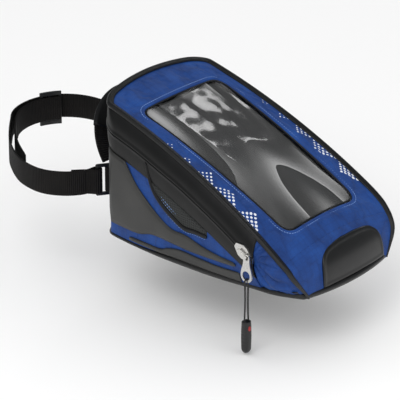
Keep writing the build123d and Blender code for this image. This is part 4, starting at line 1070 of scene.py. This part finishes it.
# ---- overlays on the side walls -----------------------------------------------------------------------------------------------------
WING_TOP = [(104, 126), (88, 98), (77, 79.5), (63, 62), (42, 45), (24, 35), (6, 34), (-18, 28), (-48, 24), (-53, 23.2)]
WING_BOTTOM = [(104, 16.5), (88, 16.5), (67, 17), (47, 22), (18, 21), (0, 20), (-30, 21), (-48, 22.3), (-53, 22.8)]
MESH_EDGE = [(55, 94), (47, 71), (36, 58), (21.5, 48), (8, 42), (-6, 42.6), (-20, 42)]
MESH_TOP = [(55, 110), (47, 104), (36, 100), (21, 92), (8, 86), (-6, 79), (-20, 72)]
HEM_TOP = [(80, 8.2), (60, 8.7), (40, 8.8), (30, 13), (16, 16), (-6, 15), (-30, 14), (-56, 15.5)]
HEM_BOTTOM = [(80, 6.2), (-56, 6.2)]


def plan_x(y, z, out=0.0):
    """Half width of the wall at any point of the wall, corners included."""
    x = side_x(y, z) + out
    reach = CORNER[2] + out
    round_x = CORNER[0] + np.sqrt(np.maximum(reach**2 - np.clip(y - CORNER[1], 0, reach) ** 2, 0))
    return np.where(y > CORNER[1], np.minimum(x, round_x), x)


def wall_points(y, z, sign, out):
    return np.stack([sign * plan_x(y, z, out), y, z], -1)


def two_edges(top, bottom, cols):
    t = curve(np.array([(*q, 0.0) for q in top]), 400)[:, :2]
    b = curve(np.array([(*q, 0.0) for q in bottom]), 400)[:, :2] if len(bottom) > 2 else resample(np.array(bottom, float), 400)
    hi, lo = max(t[:, 0].min(), b[:, 0].min()), min(t[:, 0].max(), b[:, 0].max())
    ys = np.linspace(hi, lo, cols)
    to, bo = np.argsort(t[:, 0]), np.argsort(b[:, 0])
    return ys, np.interp(ys, t[to, 0], t[to, 1]), np.interp(ys, b[bo, 0], b[bo, 1])


def overlay(name, top, bottom, sign, proud, mat, replaces, cols=90, rows=16, puff=0.0, wrinkle=0.0, limit=None, thick=1.3, seed=40):
    """A panel sewn on to the wall between two edge lines given as (y, z)."""
    ys, zt, zb = two_edges(top, bottom, cols)
    if limit is not None:
        zt = np.minimum(zt, seam_z(ys) - limit)
    f = np.linspace(0, 1, rows)
    y = np.repeat(ys[:, None], rows, 1)
    z = zb[:, None] + (zt - zb)[:, None] * f[None, :]
    edge = np.minimum(smooth(0, 0.14, f)[None, :], smooth(0, 0.14, 1 - f)[None, :]) * np.minimum(smooth(0, 5, ys - ys[0]), smooth(0, 5, ys[-1] - ys))[:, None]
    lift = proud - 0.55 + 0.55 * edge + puff * np.sin(f * math.pi)[None, :] * edge
    p = wall_points(y, z, 1, 0.0)
    lift = lift + ripple(p, 46, wrinkle, seed) * edge
    p = wall_points(y, z, sign, lift)
    uv = np.stack([y, z], -1)
    o = sheet(name, p, uv, thick, flip=sign > 0)
    face_out(o)
    return finish(o, mat, "bag", replaces), (ys, zt, zb)


def face_out(o):
    """Welds doubled points and turns the faces outward."""
    bm = bmesh.new()
    bm.from_mesh(o.data)
    bmesh.ops.remove_doubles(bm, verts=bm.verts, dist=1e-6)
    bmesh.ops.recalc_face_normals(bm, faces=bm.faces)
    bm.to_mesh(o.data)
    bm.free()


def wall_stitch(name, ys, zs, sign, out, body="bag", pitch=3.0, mat=None):
    line = wall_points(ys, zs, sign, out)
    n = np.column_stack([np.full(len(ys), float(sign)), np.zeros(len(ys)), np.zeros(len(ys))])
    o = stitches(name, line, n, pitch=pitch, length=2.1, radius=0.22)
    return finish(o, mat or THREAD_DARK, body)


def build_overlays():
    for sign, side in ((-1, "left"), (1, "right")):
        wing, (ys, zt, zb) = overlay(f"wing_{side}_vis", WING_TOP, WING_BOTTOM, sign, 1.6, GREY, (f"wing_{side}",),
                                     cols=130, puff=0.5, wrinkle=0.25, limit=BAND_DROP + 0.5, thick=1.6)
        wall_stitch(f"wing_stitch_top_{side}", ys[4:-3], zt[4:-3] - 2.6, sign, 1.75)
        wall_stitch(f"wing_stitch_low_{side}", ys[8:-3], zb[8:-3] + 2.3, sign, 1.75)
        o, (ys, zt, zb) = overlay(f"mesh_pocket_{side}_vis", MESH_TOP, MESH_EDGE, sign, 1.1, MESH, (f"mesh_pocket_{side}",),
                                  limit=BAND_DROP + 1.0, puff=0.2, wrinkle=0.2, thick=0.8, seed=45)
        low = [(y, z - 1.9) for y, z in MESH_EDGE]
        high = [(y, z + 0.1) for y, z in MESH_EDGE]
        overlay(f"pocket_trim_{side}_vis", high, low, sign, 1.5, TRIM, (f"pocket_trim_{side}",), rows=9, thick=1.8)
        wall_stitch(f"pocket_stitch_{side}", ys[2:-2], zb[2:-2] - 4.2, sign, 1.7, pitch=2.8, mat=THREAD_BLUE)
        for k, rise in enumerate((3.2, 6.4)):
            inside = zb + rise < zt - 3
            wall_stitch(f"mesh_stitch_{side}_{k}", ys[inside], zb[inside] + rise, sign, 1.5 + 0.1 * k, pitch=2.8, mat=THREAD_BLUE)
        overlay(f"lower_trim_{side}_vis", HEM_TOP, HEM_BOTTOM, sign, 1.5, GREY, (f"lower_trim_{side}",), rows=9, thick=1.3,
                seed=49)


# ---- nose patch --------------------------------------------------------------------------------------------------------------------------
PATCH_X = 6.0
PATCH_OUTLINE = [(45.0, 5.5), (44.3, 18), (43.0, 26), (39.6, 32.5), (32.0, 37.6), (18, 40.2), (0, 41.2)]


def build_patch():
    """The moulded patch on the nose: a raised rim inside its edge, with the middle left plain."""
    centre, side = nose_lines(60)
    edge = curve(np.array([(x, 0.0, z) for x, z in PATCH_OUTLINE]), 120)[:, (0, 2)]
    cols, rows = 73, 34
    zs = np.linspace(5.5, 41.0, rows)
    half = np.interp(zs, edge[:, 1], edge[:, 0])
    half[-1] = 8.0
    grid = np.zeros((cols, rows, 3))
    for j, z in enumerate(zs):
        c = np.array([np.interp(z, centre[::-1, 2], centre[::-1, k]) for k in range(3)])
        d = np.array([np.interp(z, side[::-1, 2], side[::-1, k]) for k in range(3)])
        x = PATCH_X + np.linspace(-1, 1, cols) * half[j]
        k = 1 - np.abs(x / d[0]) ** 2.1
        grid[:, j] = np.column_stack([x, d[1] + (c[1] - d[1]) * k, np.full(cols, z)])
    n = grid_normals(grid)
    if n[cols // 2, rows // 2, 1] > 0:
        n = -n
    flat = grid[:, :, (0, 2)].reshape(-1, 2) - (PATCH_X, 0)
    whole = np.vstack([edge, (edge * (-1, 1))[::-1], edge[:1]])
    line = resample(whole, 700)
    away = np.min(np.linalg.norm(flat[:, None] - line[None], axis=2), axis=1).reshape(cols, rows)
    rise = 1.5 * smooth(0, 1.1, away) - 0.45 * smooth(3.0, 3.8, away) + 0.1 * smooth(4.0, 14, away)
    grid += n * (0.2 + rise)[..., None]
    uv = np.stack([grid[..., 0], grid[..., 2]], -1)
    o = sheet("nose_patch_vis", grid, uv, 1.2)
    face_out(o)
    finish(o, RUBBER, NODES_BODY["nose_patch"], ("nose_patch",))


# ---- straps -----------------------------------------------------------------------------------------------------------------------------------
def arc(cx, cy, r, a0, a1, n=40):
    a = np.radians(np.linspace(a0, a1, n))
    return [(cx + r * math.cos(t), cy + r * math.sin(t)) for t in a]


def ribbon(name, line, z_mid, width, thick, body, replaces, sag=0.0, seed=60):
    line = resample(soften(resample(np.array(line, float), 500), 3), 300)
    path = np.column_stack([line, np.full(len(line), float(z_mid))])
    path[:, 2] += ripple(path, 120, sag, seed)
    prof = flat_profile(width, thick, 14)
    o = sweep(name, path, prof)
    return finish(o, WEB, body, replaces)


def build_straps():
    z0, z1 = (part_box("neck_strap")[i].z * 1000 for i in (0, 1))
    z_mid, width = (z0 + z1) / 2, z1 - z0
    right = [(73.6, 150.9), (71.0, 144.0), (67.6, 136.6), (65.6, 131.4), (63.4, 127.9), (60.0, 127.8), (58.2, 130.2), (60.6, 134.0),
             (66.5, 138.4), (72.0, 143.2), (75.2, 153.0), (78.2, 172.0), (75.5, 200.0), (69.0, 224.0), (64.0, 240.0)]
    left = [(-24.8, 276.8), (-48.0, 257.0), (-70.0, 235.0), (-90.0, 206.0), (-97.2, 183.0), (-96.6, 165.0), (-88.4, 149.4), (-77.0, 139.6),
            (-68.0, 136.2), (-61.0, 135.8), (-57.8, 133.0), (-58.2, 129.0), (-61.6, 127.5), (-65.4, 129.6), (-68.6, 134.6), (-73.4, 139.9),
            (-81.2, 146.7)]
    line = np.vstack([plan_curve(right, 300)[:-1], arc(12, 240, 52, 4, 131, 50), plan_curve(left, 300)[1:]])
    ribbon("neck_strap_vis", line, z_mid, width, 1.7, "strap", ("neck_strap",), sag=0.5)
    tail = np.vstack([arc(12, 240, 46.7, 48, 133, 40), plan_curve([(-20.5, 274.4), (-44.0, 253.6), (-64.0, 231.0), (-83.0, 203.5)], 120)])
    ribbon("strap_tail_vis", tail, z_mid, width - 0.5, 1.6, "strap", ("strap_tail",), sag=0.4)
    for sign, side in ((1, "right"), (-1, "left")):
        # web loop from the wall round the buckle's near bar and back
        pts = [(30, 124.5), (36, 124.0), (42, 123.0), (47, 124.3), (50.6, 127.4), (53.6, 128.2), (55.0, 125.6), (53.6, 123.0), (49.0, 121.0),
               (44, 120.8), (36, 121.9), (30, 122.6)]
        line = plan_curve([(sign * x, y) for x, y in pts], 200)
        lo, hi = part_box(f"anchor_tab_{side}")
        zc, w = (lo.z + hi.z) * 500, (hi.z - lo.z) * 1000
        o = ribbon(f"anchor_tab_{side}_vis", line, zc, w, 1.6, None, (f"anchor_tab_{side}",))
        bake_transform(o)
        row = np.column_stack([np.full(24, sign * 33.0), np.full(24, 125.2), np.linspace(zc - w / 2 + 2, zc + w / 2 - 2, 24)])
        finish(stitches(f"anchor_stitch_{side}", row, (0, 1, 0), 2.4, 1.8, 0.22), THREAD_DARK, "bag")


def plan_curve(points, count):
    return curve(np.column_stack([np.array(points, float), np.zeros(len(points))]), count)[:, :2]


def build_handle():
    """A flat arch of webbing standing on the tall end, bound round a soft core at the top."""
    lean = math.radians(HANDLE_LEAN)
    up = np.array([0, math.sin(lean), math.cos(lean)])
    out = np.array([0, math.cos(lean), -math.sin(lean)])
    t = np.radians(np.linspace(0, 180, 90))
    path = np.array([0, 125.0, HANDLE_Z]) + np.outer(48 * np.cos(t), (1, 0, 0)) + np.outer(48 * np.sin(t), up)
    radial = np.outer(np.cos(t), (1, 0, 0)) + np.outer(np.sin(t), up)
    o = sweep("carry_handle_vis", path, flat_profile(25, 2.0, 14), radial)
    finish(o, WEB, "handle", ("carry_handle",))
    core = path[18:-18]
    o = sweep("handle_grip_vis", core, flat_profile(26.4, 5.2, 14), radial[18:-18])
    finish(o, TRIM, "handle")
    for k, r in enumerate((-10.6, 10.6)):
        line = path[20:-20] + radial[20:-20] * r + out * 2.45
        finish(stitches(f"handle_stitch_{k}", line, out, 3.0, 2.1, 0.22), THREAD_DARK, "handle")
    for sign, side in ((1, "right"), (-1, "left")):
        lo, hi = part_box(f"handle_tab_{side}")
        x0, x1, z0, z1 = lo.x * 1000, hi.x * 1000, lo.z * 1000, hi.z * 1000
        xs, zs = np.linspace(x0, x1, 18), np.linspace(z0, z1, 14)
        x, z = np.meshgrid(xs, zs, indexing="ij")
        ax = np.abs(x)
        edge = CORNER[1] + np.sqrt(np.maximum(CORNER[2] ** 2 - np.clip(ax - CORNER[0], 0, None) ** 2, 0))
        y = np.minimum(TALL_Y - x * x / 505.0, np.where(ax > 48, edge, 999)) + 1.0
        p = np.stack([x, y, z], -1)
        o = sheet(f"handle_tab_{side}_vis", p, np.stack([z, x], -1), 1.8)
        face_out(o)
        finish(o, WEB, "bag", (f"handle_tab_{side}",))
        inset = [(x0 + 2.2, z0 + 2.2), (x1 - 2.2, z0 + 2.2), (x1 - 2.2, z1 - 2.2), (x0 + 2.2, z1 - 2.2), (x0 + 2.2, z0 + 2.2),
                 (x1 - 2.2, z1 - 2.2), (x0 + 2.2, z1 - 2.2), (x1 - 2.2, z0 + 2.2)]
        line = resample(np.array(inset), 200)
        ly = np.interp(line[:, 0], xs, p[:, 6, 1]) + 0.2
        row = np.column_stack([line[:, 0], ly, line[:, 1]])
        finish(stitches(f"handle_tab_stitch_{side}", row, (0, 1, 0), 2.6, 1.9, 0.22), THREAD_DARK, "bag")


# ---- slider's cord and grip ---------------------------------------------------------------------------------------------------------------------
def build_cord():
    lo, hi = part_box("puller_cord")
    glo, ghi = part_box("puller_grip")
    mid = np.array([(lo.x + hi.x), (lo.y + hi.y), 0]) * 500
    across = np.array([-0.999, 0.043, 0])
    half = (hi.x - lo.x) * 500 - 0.9
    top, low, grip_top = hi.z * 1000 - 0.9, lo.z * 1000, ghi.z * 1000
    pts = []
    for z in np.linspace(low + 1, top - half * 1.1, 14):
        squeeze = 0.25 * math.sin(math.pi * (z - grip_top) / (top - grip_top)) if z > grip_top else 0
        pts.append(mid + across * half * (1 - squeeze) + np.array([0, 0, z]))
    for a in np.linspace(0.15, math.pi - 0.15, 9):
        pts.append(mid + across * half * math.cos(a) + np.array([0, 0, top - half + half * math.sin(a)]))
    pts += [2 * mid * np.array([1, 1, 0]) - p * np.array([1, 1, -1]) for p in pts[:14][::-1]]
    path = curve(np.array(pts), 200)
    o = sweep("puller_cord_vis", path, ring_profile(0.82, 12), np.array([0.043, 0.999, 0]))
    finish(o, CORD, None, ("puller_cord",))
    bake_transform(o)
    build_grip(glo, ghi)


def build_grip(lo, hi):
    """A moulded thumb grip: rounded slab with a waist, side ribs and a coloured dot."""
    mid = np.array([(lo.x + hi.x) * 500, (lo.y + hi.y) * 500, 0.0])
    wide = np.array([-0.999, 0.043, 0])
    deep = np.array([0.043, 0.999, 0])
    top, length = hi.z * 1000, (hi.z - lo.z) * 1000
    rings, around = 46, 36
    v = np.zeros((around, rings, 3))
    for j, f in enumerate(np.linspace(0, 1, rings)):
        w = 3.6 + 0.5 * math.cos(f * 2 * math.pi) + 1.0 * math.sin(f * math.pi) ** 2
        d = 3.4 + 0.9 * math.sin(f * math.pi)
        cap = min(1.0, math.sqrt(max(1 - (max(0, 0.10 - f) / 0.10) ** 2, 0)) + 0.28, math.sqrt(max(1 - (max(0, f - 0.84) / 0.16) ** 2, 0)) + 0.02)
        rib = 0.22 * (0.5 + 0.5 * math.cos((f - 0.5) * 60)) if 0.3 < f < 0.78 else 0
        for i in range(around):
            a = 2 * math.pi * i / around
            c, q = math.cos(a), math.sin(a)
            k = (abs(c) ** 3.2 + abs(q) ** 3.2) ** (-1 / 3.2)
            v[i, j] = mid + wide * (w * cap - rib * abs(c)) * c * k + deep * d * cap * q * k + np.array([0, 0, top - length * f])
    flat = v.reshape(-1, 3)
    faces = grid_faces(around, rings, True)
    faces.append(tuple(i * rings for i in range(around)))
    faces.append(tuple(i * rings + rings - 1 for i in range(around - 1, -1, -1)))
    o = new_mesh("puller_grip_vis", flat, faces, np.zeros((len(flat), 2)))
    face_out(o)
    finish(o, GRIP, "pull_cord", ("puller_grip",))
    dot = []
    for a in np.linspace(0, 2 * math.pi, 24, endpoint=False):
        for r, h in ((0.02, 0.5), (1.0, 0.5), (1.5, 0.35), (1.7, -0.3)):
            dot.append(mid + wide * 5.0 * 0 + deep * -(4.25 + h - 0.3) + wide * r * math.cos(a) + np.array([0, 0, top - 7.5 + 1.5 * r * math.sin(a)]))
    o = new_mesh("grip_dot", np.array(dot), grid_faces(24, 4, True), np.zeros((96, 2)))
    finish(o, RED, "pull_cord")


# ---- inside -------------------------------------------------------------------------------------------------------------------------------------------
def build_inside():
    """Lining cloth on the floor and under the lid."""
    line = plan_line(lambda y: base_half(y), -112, -2.6, 300)
    front = np.array([(x, NOSE_Y + x * x / 462.0 + 3.0) for x in np.linspace(52, -52, 40)])
    loop = np.vstack([line, front])
    grid = []
    for share in np.linspace(1, 0, 26):
        xy = loop * share
        grid.append(np.column_stack([xy, np.full(len(xy), 9.3)]))
    p = np.stack(grid, 1)
    p[..., 2] += np.abs(ripple(p, 60, 0.7, 51))
    o = sheet("floor_cloth", p, p[..., :2], 0.8, wrap=True)
    face_out(o)
    finish(o, LINING, "bag", ("floor_lining",))
    line = lid_outline(4.4)
    under = panel("lid_lining_vis", line, 8.0, LINING, "lid", ("lid_foam",), 30, 0.8, 0.5, 61)
    return under


# ---- CAD parts that stay in view ---------------------------------------------------------------------------------------------------------------------------
CAD_FINISH = {
    "base_panel": (BASE_RUBBER, "base_rubber"),
    "base_board": (BASE_RUBBER, "board"),
    "base_pad": (FOAM, "foam"),
    "base_magnets": (METAL, "magnet"),
    "zip_coil_lower": (COIL, "zip_coil"),
    "zip_coil_upper": (COIL, "zip_coil"),
    "zip_stop_left": (METAL, "zip_metal"),
    "zip_stop_right": (METAL, "zip_metal"),
    "zip_slider": (METAL, "zip_metal"),
    "zip_puller": (METAL, "zip_metal"),
    "anchor_loop_left": (BUCKLE, "buckle_plastic"),
    "anchor_loop_right": (BUCKLE, "buckle_plastic"),
    "tri_glide": (BUCKLE, "buckle_plastic"),
    "map_card": (CARD, "card"),
}


def dress_cad():
    for name, (mat, _) in CAD_FINISH.items():
        data = NODES[name].data
        data.materials.clear()
        data.materials.append(mat)


# ---- stage ----------------------------------------------------------------------------------------------------------------------------------------------------
def area_light(name, at, aim, size, power, color=(1, 1, 1)):
    data = bpy.data.lights.new(name, "AREA")
    data.shape = "RECTANGLE"
    data.size, data.size_y = size
    data.energy = power
    data.color = color
    o = bpy.data.objects.new(name, data)
    bpy.context.scene.collection.objects.link(o)
    o.location = at
    o.rotation_mode = "QUATERNION"
    o.rotation_quaternion = (Vector(aim) - Vector(at)).to_track_quat("-Z", "Y")
    return o


def build_stage():
    bpy.context.scene.view_settings.view_transform = "Standard"
    floor_z = min(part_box(n)[0].z for n in NODES) - 0.002
    bpy.ops.mesh.primitive_plane_add(size=12, location=(0, 0, floor_z))
    floor = bpy.context.active_object
    floor.name = "stage_floor"
    s = Shader("stage_white")
    s.set(Base_Color=(0.9, 0.9, 0.9, 1), Roughness=0.8)
    floor.data.materials.append(s.mat)
    world = bpy.data.worlds.new("studio")
    bpy.context.scene.world = world
    world.use_nodes = True
    tree = world.node_tree
    even = tree.nodes["Background"]
    even.inputs[0].default_value = (1, 1, 1, 1)
    even.inputs[1].default_value = 0.9
    # reflections see a dim room, so the glossy film and metal keep their contrast
    dim = tree.nodes.new("ShaderNodeBackground")
    dim.inputs[0].default_value = (0.9, 0.95, 1, 1)
    dim.inputs[1].default_value = 0.22
    path = tree.nodes.new("ShaderNodeLightPath")
    pick = tree.nodes.new("ShaderNodeMixShader")
    tree.links.new(path.outputs["Is Glossy Ray"], pick.inputs[0])
    tree.links.new(even.outputs[0], pick.inputs[1])
    tree.links.new(dim.outputs[0], pick.inputs[2])
    tree.links.new(pick.outputs[0], tree.nodes["World Output"].inputs[0])
    area_light("key_left", (-1.5, -0.5, 1.5), (0, 0, 0.05), (1.3, 1.3), 16)
    area_light("fill_front", (-0.2, -1.9, 0.8), (0, 0, 0.05), (1.2, 1.0), 5.5)
    area_light("window_strip", (1.9, 0.75, 1.35), (0, 0, 0.1), (0.22, 1.0), 2.2)


def build_camera():
    turn, rise = math.radians(-49.5), math.radians(24.5)
    right = Vector((math.cos(turn), math.sin(turn), 0))
    up = Vector((-math.sin(turn) * math.sin(rise), math.cos(turn) * math.sin(rise), math.cos(rise)))
    back = Vector((math.sin(turn) * math.cos(rise), -math.cos(turn) * math.cos(rise), math.sin(rise)))
    data = bpy.data.cameras.new("photo_camera")
    data.lens, data.sensor_width = 290.8, 36.0
    data.clip_start, data.clip_end = 0.1, 50
    cam = bpy.data.objects.new("photo_camera", data)
    bpy.context.scene.collection.objects.link(cam)
    cam.location = right * -0.04055 + up * 0.03824 + back * 3.0006 + Vector((0, 0.005, 0))
    cam.rotation_mode = "QUATERNION"
    cam.rotation_quaternion = Matrix((right, up, back)).transposed().to_quaternion()
    bpy.context.scene.camera = cam


build_lid()
build_window()
build_walls()
build_band()
build_front(-1, "gusset_left_vis", ("gusset_left",))
build_front(1, "gusset_right_vis", ("gusset_right",))
build_piping()
build_overlays()
build_patch()
build_straps()
build_handle()
build_cord()
build_inside()
dress_cad()
build_stage()
build_camera()
